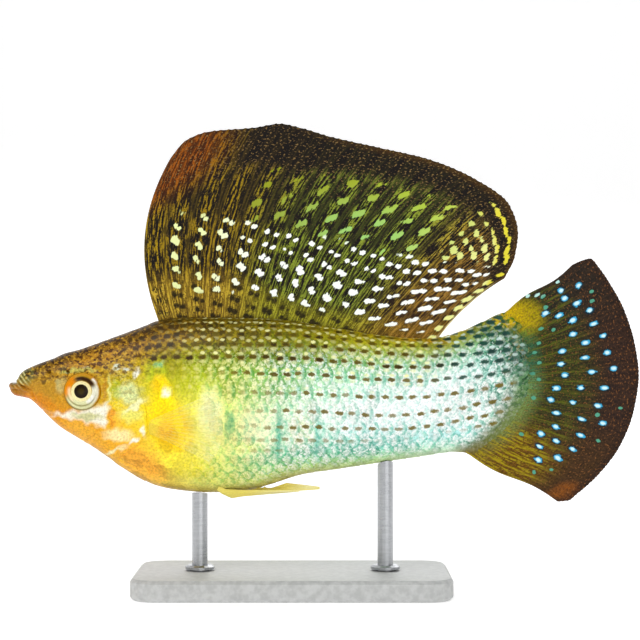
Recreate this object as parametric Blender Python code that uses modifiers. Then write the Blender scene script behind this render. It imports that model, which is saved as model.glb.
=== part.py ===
"""Life-size display model of a male sailfin molly on a plain two-rod stand.

The fish swims level with its head towards -X and its left side towards -Y.
Sizes are in millimetres and the finished meshes in metres, with +Z up and the
origin on the ground, under the middle of the fish's length.
"""

import math

import bmesh
import bpy
from mathutils import Matrix, Vector

# Driving dimensions, in millimetres
MM = 0.001
CLEARANCE = 0.3
SNOUT_X = -60.0
STEM_X = 23.7

# Outlines of the body seen from the side: place along the fish, height
BACK = [
    (-60.0, 39.2), (-59.7, 39.5), (-58.5, 39.6), (-58.1, 41.2), (-57.3, 42.1),
    (-56.2, 42.7), (-50.4, 44.9), (-42.8, 47.6), (-35.1, 50.4), (-31.0, 51.9),
    (-25.6, 52.4), (-11.5, 52.2), (3.1, 50.2), (10.7, 49.0), (18.0, 48.4),
    (22.2, 48.6), (26.0, 49.7), (34.6, 53.5), (44.0, 56.0),
]
BELLY = [
    (-60.0, 38.8), (-59.6, 38.0), (-58.8, 37.4), (-57.4, 37.1), (-56.2, 36.8),
    (-55.0, 35.9), (-53.9, 34.8), (-50.4, 31.5), (-46.6, 29.1), (-42.8, 26.8),
    (-35.1, 21.5), (-31.3, 20.0), (-26.5, 19.2), (-20.8, 18.9), (-15.1, 19.2),
    (-10.3, 20.4), (-4.2, 22.3), (3.1, 23.4), (18.3, 25.7), (25.0, 26.6),
    (29.4, 25.8), (44.0, 24.0),
]

# Half width of the body, and how its section is drawn at each place
HALF_WIDTH = [
    (-60.0, 0.3), (-59.6, 1.5), (-58.8, 2.4), (-57.3, 3.1), (-54.0, 3.9),
    (-50.0, 4.8), (-45.0, 5.7), (-40.0, 6.5), (-34.0, 7.2), (-26.0, 7.6),
    (-18.0, 7.5), (-8.0, 6.9), (2.0, 6.1), (12.0, 5.2), (20.0, 4.4),
    (26.0, 3.6), (31.0, 2.7), (36.0, 1.7), (44.0, 1.1),
]
WIDEST_DEPTH = [(-60.0, 0.5), (-50.0, 0.5), (-36.0, 0.5), (-20.0, 0.46), (10.0, 0.47), (44.0, 0.5)]
BACK_FULLNESS = [(-60.0, 0.75), (-50.0, 0.62), (-38.0, 0.72), (-20.0, 0.86), (20.0, 0.95), (44.0, 1.0)]
BELLY_FULLNESS = [(-60.0, 0.7), (-50.0, 0.85), (-36.0, 0.9), (-20.0, 0.84), (10.0, 1.0), (44.0, 1.05)]

# Edge of the gill opening, and end of the flesh at the tail fin: height, place
GILL_EDGE = [
    (14.0, -50.0), (24.0, -42.0), (26.0, -38.6), (28.5, -35.0), (31.2, -33.2),
    (34.6, -33.3), (39.4, -34.9), (44.0, -35.6), (53.0, -35.5), (60.0, -35.5),
]
TAIL_EDGE = [
    (18.0, 21.0), (26.4, 27.6), (33.0, 34.6), (39.4, 37.4), (47.0, 36.9),
    (53.5, 34.6), (60.0, 31.0),
]

# Spacing of the body's sections from one end of a length to the other
HEAD_STATIONS = [
    0.004, 0.018, 0.036, 0.058, 0.076, 0.1, 0.13, 0.17, 0.215, 0.265, 0.32,
    0.38, 0.445, 0.51, 0.575, 0.64, 0.705, 0.77, 0.83, 0.89, 0.945, 1.0,
]
TORSO_STATIONS = 21
TAIL_STATIONS = 9
SIDE_STEPS = 19

# Mouth
MOUTH_LINE = [(-61.0, 39.8), (-58.4, 39.7), (-55.7, 38.65), (-50.0, 37.0)]
LIP_RADIUS = 0.45
UPPER_LIP_LIFT = 0.78
LOWER_LIP_LIFT = -0.62
UPPER_LIP_REACH = 2.0
LOWER_LIP_REACH = 3.35
LIP_CORNER = (-56.2, 3.3)

# Eyes and nostrils
EYE_CENTRE = (-45.4, 4.25, 38.3)
EYE_RADII = (3.35, 2.15, 3.35)
EYE_FULLNESS = 0.78
NOSTRILS = [(-48.3, 42.0, 0.5), (-51.8, 41.9, 0.38)]

# Gill covers: part of the flank's depth that they span, and their layers
COVER_SPAN = (0.3, 0.9)
COVER_FRONT = [(0.25, -37.8), (0.36, -40.0), (0.5, -40.4), (0.7, -41.2), (0.84, -42.4), (0.95, -41.2)]
COVER_RISE = 0.28
COVER_SINK = 0.6

# Dorsal fin
DORSAL_BASE = (-31.7, 22.2)
DORSAL_RAYS = 18
DORSAL_ROWS = [0.0, 0.035, 0.09, 0.19, 0.3, 0.42, 0.54, 0.66, 0.78, 0.89, 1.0]
DORSAL_MARGIN = [
    (-29.2, 83.0), (-26.5, 86.2), (-22.0, 88.0), (-13.0, 88.8), (-8.5, 89.5),
    (-4.5, 88.7), (1.0, 87.0), (10.7, 84.7), (20.2, 82.4), (29.8, 78.2), (35.5, 73.8),
    (37.2, 68.5), (36.6, 64.0), (34.6, 59.8),
]

# Tail fin
CAUDAL_BASE = (53.5, 26.1)
CAUDAL_RAYS = 21
CAUDAL_ROWS = [0.0, 0.08, 0.2, 0.34, 0.48, 0.62, 0.76, 0.89, 1.0]
CAUDAL_MARGIN = [
    (47.6, 62.4), (49.4, 63.2), (51.0, 63.6), (52.7, 61.9), (54.7, 59.0),
    (57.5, 53.7), (59.4, 47.0), (60.0, 41.6), (59.0, 34.6), (56.5, 27.9),
    (52.7, 22.5), (48.4, 18.4), (46.8, 17.2), (44.8, 17.0),
]

# Paired fins and the gonopodium
PECTORAL_ROOT = (-31.4, 31.9)
PECTORAL_LENGTH = 14.0
PECTORAL_RAYS = 8
PECTORAL_SPREAD = (22.0, -22.0)
PECTORAL_OUT = 18.0
PELVIC_RAYS = 5
GONOPODIUM_ROOT = -10.6
GONOPODIUM_TIP = -0.8

# Thickness of rays and membranes
MEMBRANE = 0.5
RAY = 0.95
RAY_TIP = 0.6

# Stand
BASE_SIZE = (60.0, 32.0, 4.0)
BASE_X = -6.0
ROD_RADIUS = 1.5
ROD_PLACES = {"stand_rod_front": -23.7, "stand_rod_rear": 11.7}
SOCKET_DEPTH = 2.4
FLANGE_RADIUS = 2.8
FLANGE_HEIGHT = 0.8


def smooth_curve(points):
    """Gives a function that runs through the points with no overshoot."""
    count = len(points)
    steps = [points[i + 1][0] - points[i][0] for i in range(count - 1)]
    rises = [(points[i + 1][1] - points[i][1]) / steps[i] for i in range(count - 1)]
    slopes = [rises[0]]
    for i in range(1, count - 1):
        if rises[i - 1] * rises[i] <= 0.0:
            slopes.append(0.0)
        else:
            before = 2.0 * steps[i] + steps[i - 1]
            after = steps[i] + 2.0 * steps[i - 1]
            slopes.append((before + after) / (before / rises[i - 1] + after / rises[i]))
    slopes.append(rises[-1])

    def value(place):
        place = min(max(place, points[0][0]), points[-1][0])
        i = 0
        while i < count - 2 and place > points[i + 1][0]:
            i += 1
        h = steps[i]
        t = (place - points[i][0]) / h
        low, high = points[i][1], points[i + 1][1]
        return (
            (1 + 2 * t) * (1 - t) ** 2 * low
            + t * (1 - t) ** 2 * h * slopes[i]
            + t * t * (3 - 2 * t) * high
            + t * t * (t - 1) * h * slopes[i + 1]
        )

    return value


def smooth_path(points):
    """Gives a function from 0..1 along a rounded path through plane points."""
    lengths = [0.0]
    for a, b in zip(points, points[1:]):
        lengths.append(lengths[-1] + math.dist(a, b))
    along_x = smooth_curve([(s, p[0]) for s, p in zip(lengths, points)])
    along_z = smooth_curve([(s, p[1]) for s, p in zip(lengths, points)])
    return lambda t: (along_x(t * lengths[-1]), along_z(t * lengths[-1]))


back = smooth_curve(BACK)
belly = smooth_curve(BELLY)
half_width = smooth_curve(HALF_WIDTH)
widest_depth = smooth_curve(WIDEST_DEPTH)
back_fullness = smooth_curve(BACK_FULLNESS)
belly_fullness = smooth_curve(BELLY_FULLNESS)
gill_edge = smooth_curve(GILL_EDGE)
tail_edge = smooth_curve(TAIL_EDGE)
mouth_line = smooth_curve(MOUTH_LINE)
cover_front = smooth_curve(COVER_FRONT)
dorsal_margin = smooth_path(DORSAL_MARGIN)
caudal_margin = smooth_path(CAUDAL_MARGIN)


def skin_width(x, z):
    """Half width of the body's skin at a place and a height."""
    top, bottom = back(x), belly(x)
    depth = min(max((top - z) / (top - bottom), 0.0), 1.0)
    depth = depth ** (math.log(0.5) / math.log(widest_depth(x)))
    fullness = back_fullness(x) if depth < 0.5 else belly_fullness(x)
    swing = math.sqrt(max(1.0 - (1.0 - 2.0 * depth) ** 2, 0.0))
    return half_width(x) * swing ** fullness


def skin_point(x, z, rise=0.0):
    """Point on the right flank, lifted along the skin's normal by a rise."""
    step = 0.05
    along = (skin_width(x + step, z) - skin_width(x - step, z)) / (2 * step)
    up = (skin_width(x, z + step) - skin_width(x, z - step)) / (2 * step)
    normal = Vector((-along, 1.0, -up)).normalized()
    return Vector((x, skin_width(x, z), z)) + normal * rise


def skin_underside(x, y):
    """Height of the belly's skin at a place beside the middle line."""
    low, high = belly(x), belly(x) + 0.5 * (back(x) - belly(x))
    for _ in range(40):
        middle = 0.5 * (low + high)
        if skin_width(x, middle) < abs(y):
            low = middle
        else:
            high = middle
    return high


def crossing(station, outline, low, high):
    """Height at which a section's curve meets the back or belly line."""
    for _ in range(50):
        middle = 0.5 * (low + high)
        if middle < outline(station(middle)):
            low = middle
        else:
            high = middle
    return 0.5 * (low + high)


def new_collection(name):
    """Makes a collection in the scene."""
    collection = bpy.data.collections.new(name)
    bpy.context.scene.collection.children.link(collection)
    return collection


def mesh_object(name, bm, collection):
    """Turns a bmesh into an object of the collection."""
    mesh = bpy.data.meshes.new(name)
    bm.to_mesh(mesh)
    bm.free()
    piece = bpy.data.objects.new(name, mesh)
    collection.objects.link(piece)
    return piece


def outward(bm):
    """Faces every side of a closed shape outward and splits it in triangles."""
    bmesh.ops.remove_doubles(bm, verts=bm.verts, dist=0.0005)
    bmesh.ops.dissolve_degenerate(bm, dist=0.0005, edges=bm.edges)
    bmesh.ops.triangulate(bm, faces=bm.faces, quad_method="FIXED")
    bmesh.ops.recalc_face_normals(bm, faces=bm.faces)


def body_length(name, stations, collection):
    """Lofts a length of the body through a list of section curves."""
    bm = bmesh.new()
    rings = []
    for station in stations:
        top = crossing(station, back, 37.0, 58.0)
        bottom = crossing(station, belly, 16.0, 45.0)
        ring = []
        for step in range(2 * SIDE_STEPS):
            side = 1.0 if step <= SIDE_STEPS else -1.0
            turn = math.pi * (step if step <= SIDE_STEPS else 2 * SIDE_STEPS - step) / SIDE_STEPS
            z = 0.5 * (top + bottom) + 0.5 * (top - bottom) * math.cos(turn)
            x = station(z)
            y = 0.0 if step in (0, SIDE_STEPS) else side * skin_width(x, z)
            ring.append(bm.verts.new((x, y, z)))
        rings.append(ring)
    around = 2 * SIDE_STEPS
    for first, second in zip(rings, rings[1:]):
        for i in range(around):
            j = (i + 1) % around
            bm.faces.new((first[i], first[j], second[j], second[i]))
    for ring in (rings[0], rings[-1]):
        for i in range(SIDE_STEPS):
            corners = [ring[i], ring[i + 1], ring[(around - i - 1) % around], ring[(around - i) % around]]
            bm.faces.new(dict.fromkeys(corners))
    outward(bm)
    return mesh_object(name, bm, collection)


def between(first, second, share):
    """Gives the section curve that lies at a share of the way between two."""
    return lambda z: first(z) + (second(z) - first(z)) * share


def prism(name, outline, reach, collection):
    """A side outline pulled out to both sides of the middle plane."""
    bm = bmesh.new()
    face = bm.faces.new([bm.verts.new((x, -reach, z)) for x, z in outline])
    pulled = bmesh.ops.extrude_face_region(bm, geom=[face])
    verts = [v for v in pulled["geom"] if isinstance(v, bmesh.types.BMVert)]
    bmesh.ops.translate(bm, verts=verts, vec=(0.0, 2 * reach, 0.0))
    outward(bm)
    return mesh_object(name, bm, collection)


def patch_plate(name, place, columns, rows, side, collection):
    """A closed plate whose outer and inner layers follow the flank."""
    bm = bmesh.new()
    layers = []
    for layer in (0, 1):
        grid = []
        for i in range(columns + 1):
            line = []
            for j in range(rows + 1):
                point = place(i / columns, j / rows, layer)
                line.append(bm.verts.new((point.x, side * point.y, point.z)))
            grid.append(line)
        layers.append(grid)
    outer, inner = layers
    for i in range(columns):
        for j in range(rows):
            for grid in layers:
                bm.faces.new((grid[i][j], grid[i + 1][j], grid[i + 1][j + 1], grid[i][j + 1]))
    for i in range(columns):
        for j in (0, rows):
            bm.faces.new((outer[i][j], outer[i + 1][j], inner[i + 1][j], inner[i][j]))
    for j in range(rows):
        for i in (0, columns):
            bm.faces.new((outer[i][j], outer[i][j + 1], inner[i][j + 1], inner[i][j]))
    outward(bm)
    return mesh_object(name, bm, collection)


def ball(name, centre, radii, fullness, steps, collection):
    """A rounded lens: a sphere whose outer face is flattened or filled."""
    bm = bmesh.new()
    bmesh.ops.create_uvsphere(bm, u_segments=2 * steps, v_segments=steps, radius=1.0)
    bmesh.ops.rotate(bm, verts=bm.verts, matrix=Matrix.Rotation(math.pi / 2, 3, "X"))
    for vert in bm.verts:
        ring = math.hypot(vert.co.x, vert.co.z)
        if ring > 1e-6:
            stretch = ring ** fullness / ring
            vert.co.x *= stretch
            vert.co.z *= stretch
    bmesh.ops.scale(bm, verts=bm.verts, vec=radii)
    bmesh.ops.translate(bm, verts=bm.verts, vec=centre)
    outward(bm)
    return mesh_object(name, bm, collection)


def tube(name, points, radius, collection):
    """A rounded lip or rod along a line of points, as a closed mesh."""
    curve = bpy.data.curves.new(name, "CURVE")
    curve.dimensions = "3D"
    curve.bevel_depth = radius
    curve.bevel_resolution = 1
    curve.use_fill_caps = True
    spline = curve.splines.new("POLY")
    spline.points.add(len(points) - 1)
    for knot, point in zip(spline.points, points):
        knot.co = (*point, 1.0)
    guide = bpy.data.objects.new(name + "_line", curve)
    collection.objects.link(guide)
    bpy.context.view_layer.update()
    graph = bpy.context.evaluated_depsgraph_get()
    mesh = bpy.data.meshes.new_from_object(guide.evaluated_get(graph))
    bm = bmesh.new()
    bm.from_mesh(mesh)
    bpy.data.objects.remove(guide)
    bpy.data.meshes.remove(mesh)
    outward(bm)
    return mesh_object(name, bm, collection)


def apply_boolean(target, pieces, operation):
    """Joins all the pieces to the target, or cuts them out of it, in one go."""
    group = new_collection(target.name + "_" + operation.lower())
    for piece in pieces:
        for owner in list(piece.users_collection):
            owner.objects.unlink(piece)
        group.objects.link(piece)
        piece.hide_render = True
        piece.display_type = "WIRE"
    modifier = target.modifiers.new(operation.title(), "BOOLEAN")
    modifier.operation = operation
    modifier.solver = "EXACT"
    modifier.operand_type = "COLLECTION"
    modifier.collection = group
    bpy.context.view_layer.update()
    graph = bpy.context.evaluated_depsgraph_get()
    result = bpy.data.meshes.new_from_object(target.evaluated_get(graph))
    target.modifiers.clear()
    target.data = result
    for piece in pieces:
        bpy.data.objects.remove(piece)
    bpy.data.collections.remove(group)
    keep_largest(target)


def keep_largest(target):
    """Drops every loose scrap and keeps the largest closed surface."""
    bm = bmesh.new()
    bm.from_mesh(target.data)
    bmesh.ops.remove_doubles(bm, verts=bm.verts, dist=0.0005)
    bmesh.ops.dissolve_degenerate(bm, dist=0.0005, edges=bm.edges)
    bmesh.ops.holes_fill(bm, edges=[edge for edge in bm.edges if edge.is_boundary])
    unseen = set(bm.verts)
    islands = []
    while unseen:
        stack = [unseen.pop()]
        island = list(stack)
        while stack:
            for edge in stack.pop().link_edges:
                for vert in edge.verts:
                    if vert in unseen:
                        unseen.remove(vert)
                        stack.append(vert)
                        island.append(vert)
        islands.append(island)
    islands.sort(key=len)
    for island in islands[:-1]:
        bmesh.ops.delete(bm, geom=island, context="VERTS")
    outward(bm)
    bm.to_mesh(target.data)
    bm.free()


def vane(name, place, rays, rows, thickness, collection, ray_share=0.16, tilt=0.0):
    """A fin: an open sheet of rays and membrane with a thickness of its own."""
    bm = bmesh.new()
    shares = []
    for i in range(rays):
        for flank in (-ray_share, 0.0, ray_share):
            share = (i + flank) / (rays - 1)
            if 0.0 <= share <= 1.0:
                shares.append((share, flank == 0.0))
    grid = [[bm.verts.new(place(share, row)) for row in rows] for share, _ in shares]
    bm.verts.ensure_lookup_table()
    for i in range(len(shares) - 1):
        for j in range(len(rows) - 1):
            a, b, c, d = grid[i][j], grid[i + 1][j], grid[i + 1][j + 1], grid[i][j + 1]
            bm.faces.new((a, b, c))
            bm.faces.new((a, c, d))
    bmesh.ops.recalc_face_normals(bm, faces=bm.faces)
    fin = mesh_object(name, bm, collection)
    group = fin.vertex_groups.new(name="thickness")
    deepest = max(thickness(1.0, 0.0), thickness(0.0, 0.0), RAY)
    for i, (_, is_ray) in enumerate(shares):
        for j, row in enumerate(rows):
            weight = thickness(1.0 if is_ray else 0.0, row) / deepest
            group.add([i * len(rows) + j], weight, "REPLACE")
    solidify = fin.modifiers.new("Thickness", "SOLIDIFY")
    solidify.thickness = deepest * MM
    solidify.offset = 0.0
    solidify.vertex_group = group.name
    solidify.thickness_vertex_group = 0.0
    return fin


def fin_thickness(root, fade):
    """Gives the thickness of ray and membrane from root to tip."""

    def thickness(is_ray, row):
        ray = RAY + (RAY_TIP - RAY) * row
        web = MEMBRANE
        swell = max(1.0 - row / fade, 0.0) ** 1.5
        return (ray if is_ray else web) + swell * (root - (ray if is_ray else web))

    return thickness


def finish(piece, origin, material, parent, smooth=True):
    """Scales a piece to metres and sets its origin, finish and parent."""
    origin = Vector(origin)
    piece.data.transform(Matrix.Translation(-origin))
    piece.data.transform(Matrix.Scale(MM, 4))
    piece.location = origin * MM
    piece.parent = parent
    piece.data.materials.clear()
    piece.data.materials.append(material)
    if smooth:
        piece.data.shade_smooth()
        piece.data.set_sharp_from_angle(angle=math.radians(50.0))


def principled(name, colour, roughness, metallic=0.0):
    """A finish with one colour for a piece of the model."""
    material = bpy.data.materials.new(name)
    material.use_nodes = True
    shader = material.node_tree.nodes["Principled BSDF"]
    shader.inputs["Base Color"].default_value = (*colour, 1.0)
    shader.inputs["Roughness"].default_value = roughness
    shader.inputs["Metallic"].default_value = metallic
    return material


def cover_edge(depth):
    """Place on the gill opening's edge at a share of the flank's depth."""
    x = gill_edge(33.0)
    for _ in range(60):
        z = back(x) - depth * (back(x) - belly(x))
        x = 0.6 * x + 0.4 * gill_edge(z)
    return x


def cover_place(margin, rise, sink):
    """Gives the place of a point of the gill cover, widened by a margin."""

    def place(across, down, layer):
        top, bottom = COVER_SPAN
        span = bottom - top
        widen = margin / 27.0
        depth = top - widen + (span + 2 * widen) * down
        front = cover_front(depth) - margin
        rear = cover_edge(depth) + (2.0 if margin else 0.0)
        x = front + (rear - front) * across
        z = back(x) - depth * (back(x) - belly(x))
        return skin_point(x, z, -sink if layer else rise)

    return place


def lip_line(reach, lift):
    """Points along a lip from corner to corner, round the front."""
    points = []
    for i in range(-7, 8):
        turn = math.radians(90.0 * i / 7.0)
        x = LIP_CORNER[0] - reach * max(math.cos(turn), 0.0) ** 0.55
        y = LIP_CORNER[1] * math.sin(turn)
        points.append((x, y, mouth_line(x) + lift))
    return points


def build_head(collection, parts):
    """Head, lower jaw, gill covers and eyes."""

    def front(z):
        return SNOUT_X

    stations = [between(front, gill_edge, share) for share in HEAD_STATIONS]
    head = body_length("head", stations, collection)
    jaw = body_length("lower_jaw", stations[:11], collection)
    gap = CLEARANCE / 2
    wedge = [
        (-64.0, 44.0), (-58.45, 44.0), (-58.45, mouth_line(-58.45) - gap),
        (-55.7, mouth_line(-55.7) - gap), (-54.1, 35.6), (-52.6, 31.0), (-64.0, 31.0),
    ]
    hollow = [
        (-65.0, 45.0), (-58.15, 45.0), (-58.15, mouth_line(-58.15) + gap),
        (-55.45, mouth_line(-55.45) + gap), (-53.75, 35.6), (-52.25, 31.0), (-65.0, 31.0),
    ]
    rest = [(-40.0, 60.0), (-70.0, 60.0), (-70.0, 52.0)] + [
        (wedge[0][0] - 4.0, 44.0), *wedge[1:6], (-52.6, 20.0), (-40.0, 20.0),
    ]
    upper_lip = tube("upper_lip", lip_line(UPPER_LIP_REACH, UPPER_LIP_LIFT), LIP_RADIUS, collection)
    lower_lip = tube("lower_lip", lip_line(LOWER_LIP_REACH, LOWER_LIP_LIFT), LIP_RADIUS, collection)
    apply_boolean(jaw, [prism("jaw_rest", rest, 12.0, collection)], "DIFFERENCE")
    apply_boolean(jaw, [lower_lip], "UNION")

    cutters = [prism("jaw_hollow", hollow, 12.0, collection)]
    for side in (-1.0, 1.0):
        centre = (EYE_CENTRE[0], side * EYE_CENTRE[1], EYE_CENTRE[2])
        radii = tuple(radius + CLEARANCE for radius in EYE_RADII)
        cutters.append(ball("socket", centre, radii, EYE_FULLNESS, 10, collection))
        pocket = cover_place(CLEARANCE, 2.0, COVER_SINK + CLEARANCE)
        cutters.append(patch_plate("pocket", pocket, 6, 14, side, collection))
        for x, z, radius in NOSTRILS:
            spot = skin_point(x, z)
            pit = (spot.x, side * spot.y, spot.z)
            cutters.append(ball("nostril", pit, (radius, radius, radius), 1.0, 4, collection))
    apply_boolean(head, cutters[:1], "DIFFERENCE")
    apply_boolean(head, [upper_lip], "UNION")
    apply_boolean(head, cutters[1:], "DIFFERENCE")
    parts["head"] = (head, (gill_edge(36.0), 0.0, 36.0))
    parts["lower_jaw"] = (jaw, (-54.0, 0.0, 37.0))

    for side, word in ((-1.0, "left"), (1.0, "right")):
        cover = patch_plate(
            "gill_cover_" + word, cover_place(0.0, COVER_RISE, COVER_SINK), 7, 14, side, collection
        )
        parts[cover.name] = (cover, (cover_front(0.5), side * 6.0, 36.0))
        centre = (EYE_CENTRE[0], side * EYE_CENTRE[1], EYE_CENTRE[2])
        eye = ball("eye_" + word, centre, EYE_RADII, EYE_FULLNESS, 9, collection)
        parts[eye.name] = (eye, centre)


def build_trunk(collection, parts):
    """Torso from the gill opening to the stem, and the stem of the tail."""

    def torso_front(z):
        return gill_edge(z) + CLEARANCE

    def torso_rear(z):
        return STEM_X - CLEARANCE

    def tail_front(z):
        return STEM_X

    shares = [i / (TORSO_STATIONS - 1) for i in range(TORSO_STATIONS)]
    torso = body_length("torso", [between(torso_front, torso_rear, s) for s in shares], collection)
    shares = [i / (TAIL_STATIONS - 1) for i in range(TAIL_STATIONS)]
    tail = body_length("tail", [between(tail_front, tail_edge, s) for s in shares], collection)
    parts["torso"] = (torso, (gill_edge(36.0), 0.0, 36.0))
    parts["tail"] = (tail, (STEM_X, 0.0, 38.0))


def dorsal_place(share, row):
    """Point of the dorsal fin: share along the base, row from root to tip."""
    x = DORSAL_BASE[0] + (DORSAL_BASE[1] - DORSAL_BASE[0]) * share
    root = Vector((x, 0.0, back(x) + CLEARANCE))
    tip_x, tip_z = dorsal_margin(min(share + 0.07 * math.sin(math.pi * share), 1.0))
    tip = Vector((tip_x, 0.0, tip_z))
    chord = tip - root
    forward = Vector((-chord.z, 0.0, chord.x)).normalized()
    bow = (3.0 * (1.0 - share) ** 1.5 + 0.8) * 4.0 * row * (1.0 - row)
    wave = 1.5 * row * row * math.sin(2.4 * math.pi * share + 0.5)
    return root + chord * row + forward * bow + Vector((0.0, wave, 0.0))


def caudal_place(share, row):
    """Point of the tail fin: share down the base, row from root to tip."""
    z = CAUDAL_BASE[0] + (CAUDAL_BASE[1] - CAUDAL_BASE[0]) * share
    root = Vector((tail_edge(z) + CLEARANCE + 0.1, 0.0, z))
    tip_x, tip_z = caudal_margin(share)
    tip = Vector((tip_x, 0.0, tip_z))
    wave = 1.4 * row ** 1.6 * math.sin(2.2 * math.pi * share + 0.7)
    bow = 0.5 * math.sin(2.0 * math.pi * row) * (1.0 - 2.0 * share) ** 3
    return root + (tip - root) * row + Vector((0.0, wave, bow))


def pectoral_place(side):
    """Gives the points of a pectoral fin, held back and a little out."""

    def place(share, row):
        x0, z0 = PECTORAL_ROOT
        root_z = z0 + 1.7 - 3.4 * share
        root = skin_point(x0, root_z, CLEARANCE + 0.45)
        lean = math.radians(PECTORAL_SPREAD[0] + (PECTORAL_SPREAD[1] - PECTORAL_SPREAD[0]) * share)
        length = PECTORAL_LENGTH * (0.72 + 0.28 * math.sin(math.pi * (0.12 + 0.72 * share)))
        out = math.radians(PECTORAL_OUT + 6.0 * row)
        run = length * row
        point = root + Vector((
            run * math.cos(lean) * math.cos(out),
            run * math.cos(lean) * math.sin(out),
            run * math.sin(lean),
        ))
        return Vector((point.x, side * point.y, point.z))

    return place


def pelvic_place(side):
    """Gives the points of a pelvic fin, folded back under the belly."""

    def place(share, row):
        outer = 3.3 - 2.0 * share
        lead_x = -18.8 + 1.4 * share
        root = Vector((lead_x, outer, skin_underside(lead_x, outer) - CLEARANCE - 0.55))
        tip = Vector((-4.6 - 2.6 * share, 2.5 - 1.3 * share, 19.35 - 0.35 * share))
        point = root + (tip - root) * row
        return Vector((point.x, side * point.y, point.z))

    return place


def gonopodium_place(share, row):
    """Point of the gonopodium: a slim rod-like fin trailing under the belly."""
    x = GONOPODIUM_ROOT + (GONOPODIUM_TIP - GONOPODIUM_ROOT) * row
    middle = 19.95 - 0.25 * row
    half = 0.85 * (1.0 - row) ** 0.8 + 0.22
    lift = min(middle + half, belly(x) - 0.75)
    z = lift + (middle - half - lift) * share
    return Vector((x - 1.2 * (1.0 - row) * share, 0.0, z))


def build_fins(collection, parts):
    """Dorsal, tail, pectoral and pelvic fins and the gonopodium."""
    dorsal = vane(
        "dorsal_fin", dorsal_place, DORSAL_RAYS, DORSAL_ROWS, fin_thickness(1.7, 0.12), collection
    )
    parts["dorsal_fin"] = (dorsal, dorsal_place(0.0, 0.0))
    caudal = vane(
        "tail_fin", caudal_place, CAUDAL_RAYS, CAUDAL_ROWS, fin_thickness(1.9, 0.3), collection
    )
    parts["tail_fin"] = (caudal, caudal_place(0.5, 0.0))
    rows = [0.0, 0.12, 0.3, 0.55, 0.8, 1.0]
    for side, word in ((-1.0, "left"), (1.0, "right")):
        place = pectoral_place(side)
        fin = vane(
            "pectoral_fin_" + word, place, PECTORAL_RAYS, rows, fin_thickness(0.9, 0.2), collection
        )
        parts[fin.name] = (fin, place(0.5, 0.0))
        place = pelvic_place(side)
        fin = vane("pelvic_fin_" + word, place, PELVIC_RAYS, rows, fin_thickness(0.9, 0.2), collection)
        parts[fin.name] = (fin, place(0.5, 0.0))
    fin = vane("gonopodium", gonopodium_place, 3, rows, fin_thickness(0.95, 0.5), collection)
    parts["gonopodium"] = (fin, gonopodium_place(0.5, 0.0))


def build_stand(collection, parts):
    """Flat base with two rods that end under the belly."""
    bm = bmesh.new()
    bmesh.ops.create_cube(bm, size=1.0)
    bmesh.ops.scale(bm, verts=bm.verts, vec=BASE_SIZE)
    bmesh.ops.translate(bm, verts=bm.verts, vec=(BASE_X, 0.0, BASE_SIZE[2] / 2))
    upright = [e for e in bm.edges if abs(e.verts[0].co.z - e.verts[1].co.z) > 1.0]
    bmesh.ops.bevel(bm, geom=upright, offset=5.0, segments=5, profile=0.5, affect="EDGES")
    rim = [e for e in bm.edges if abs(e.calc_face_angle(0.0)) > 1.0]
    bmesh.ops.bevel(bm, geom=rim, offset=0.6, segments=1, profile=0.5, affect="EDGES")
    outward(bm)
    base = mesh_object("stand_base", bm, collection)
    sockets = []
    for x in ROD_PLACES.values():
        bm = bmesh.new()
        bmesh.ops.create_cone(
            bm, cap_ends=True, segments=16, radius1=ROD_RADIUS + CLEARANCE,
            radius2=ROD_RADIUS + CLEARANCE, depth=2 * SOCKET_DEPTH,
        )
        bmesh.ops.translate(bm, verts=bm.verts, vec=(x, 0.0, BASE_SIZE[2]))
        outward(bm)
        sockets.append(mesh_object("rod_socket", bm, collection))
    apply_boolean(base, sockets, "DIFFERENCE")
    parts["stand_base"] = (base, (BASE_X, 0.0, 0.0))
    for name, x in ROD_PLACES.items():
        foot = BASE_SIZE[2] - SOCKET_DEPTH + CLEARANCE
        floor = BASE_SIZE[2] + CLEARANCE
        top = belly(x) - CLEARANCE
        profile = [
            (ROD_RADIUS, foot), (ROD_RADIUS, floor), (FLANGE_RADIUS, floor),
            (FLANGE_RADIUS, floor + FLANGE_HEIGHT * 0.6), (FLANGE_RADIUS - 0.5, floor + FLANGE_HEIGHT),
            (ROD_RADIUS, floor + FLANGE_HEIGHT), (ROD_RADIUS, top - 1.5), (ROD_RADIUS, top),
            (ROD_RADIUS * 0.5, top),
        ]
        bm = bmesh.new()
        segments = 16
        rings = [
            [bm.verts.new((
                x + r * math.cos(2 * math.pi * k / segments), r * math.sin(2 * math.pi * k / segments), z,
            )) for k in range(segments)]
            for r, z in profile
        ]
        for ring in rings[-2:]:
            for vert in ring:
                vert.co.z = skin_underside(vert.co.x, vert.co.y) - CLEARANCE
        for low, high in zip(rings, rings[1:]):
            for k in range(segments):
                bm.faces.new((low[k], low[(k + 1) % segments], high[(k + 1) % segments], high[k]))
        bm.faces.new(rings[0])
        bm.faces.new(rings[-1])
        outward(bm)
        rod = mesh_object(name, bm, collection)
        parts[name] = (rod, (x, 0.0, foot))


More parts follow.
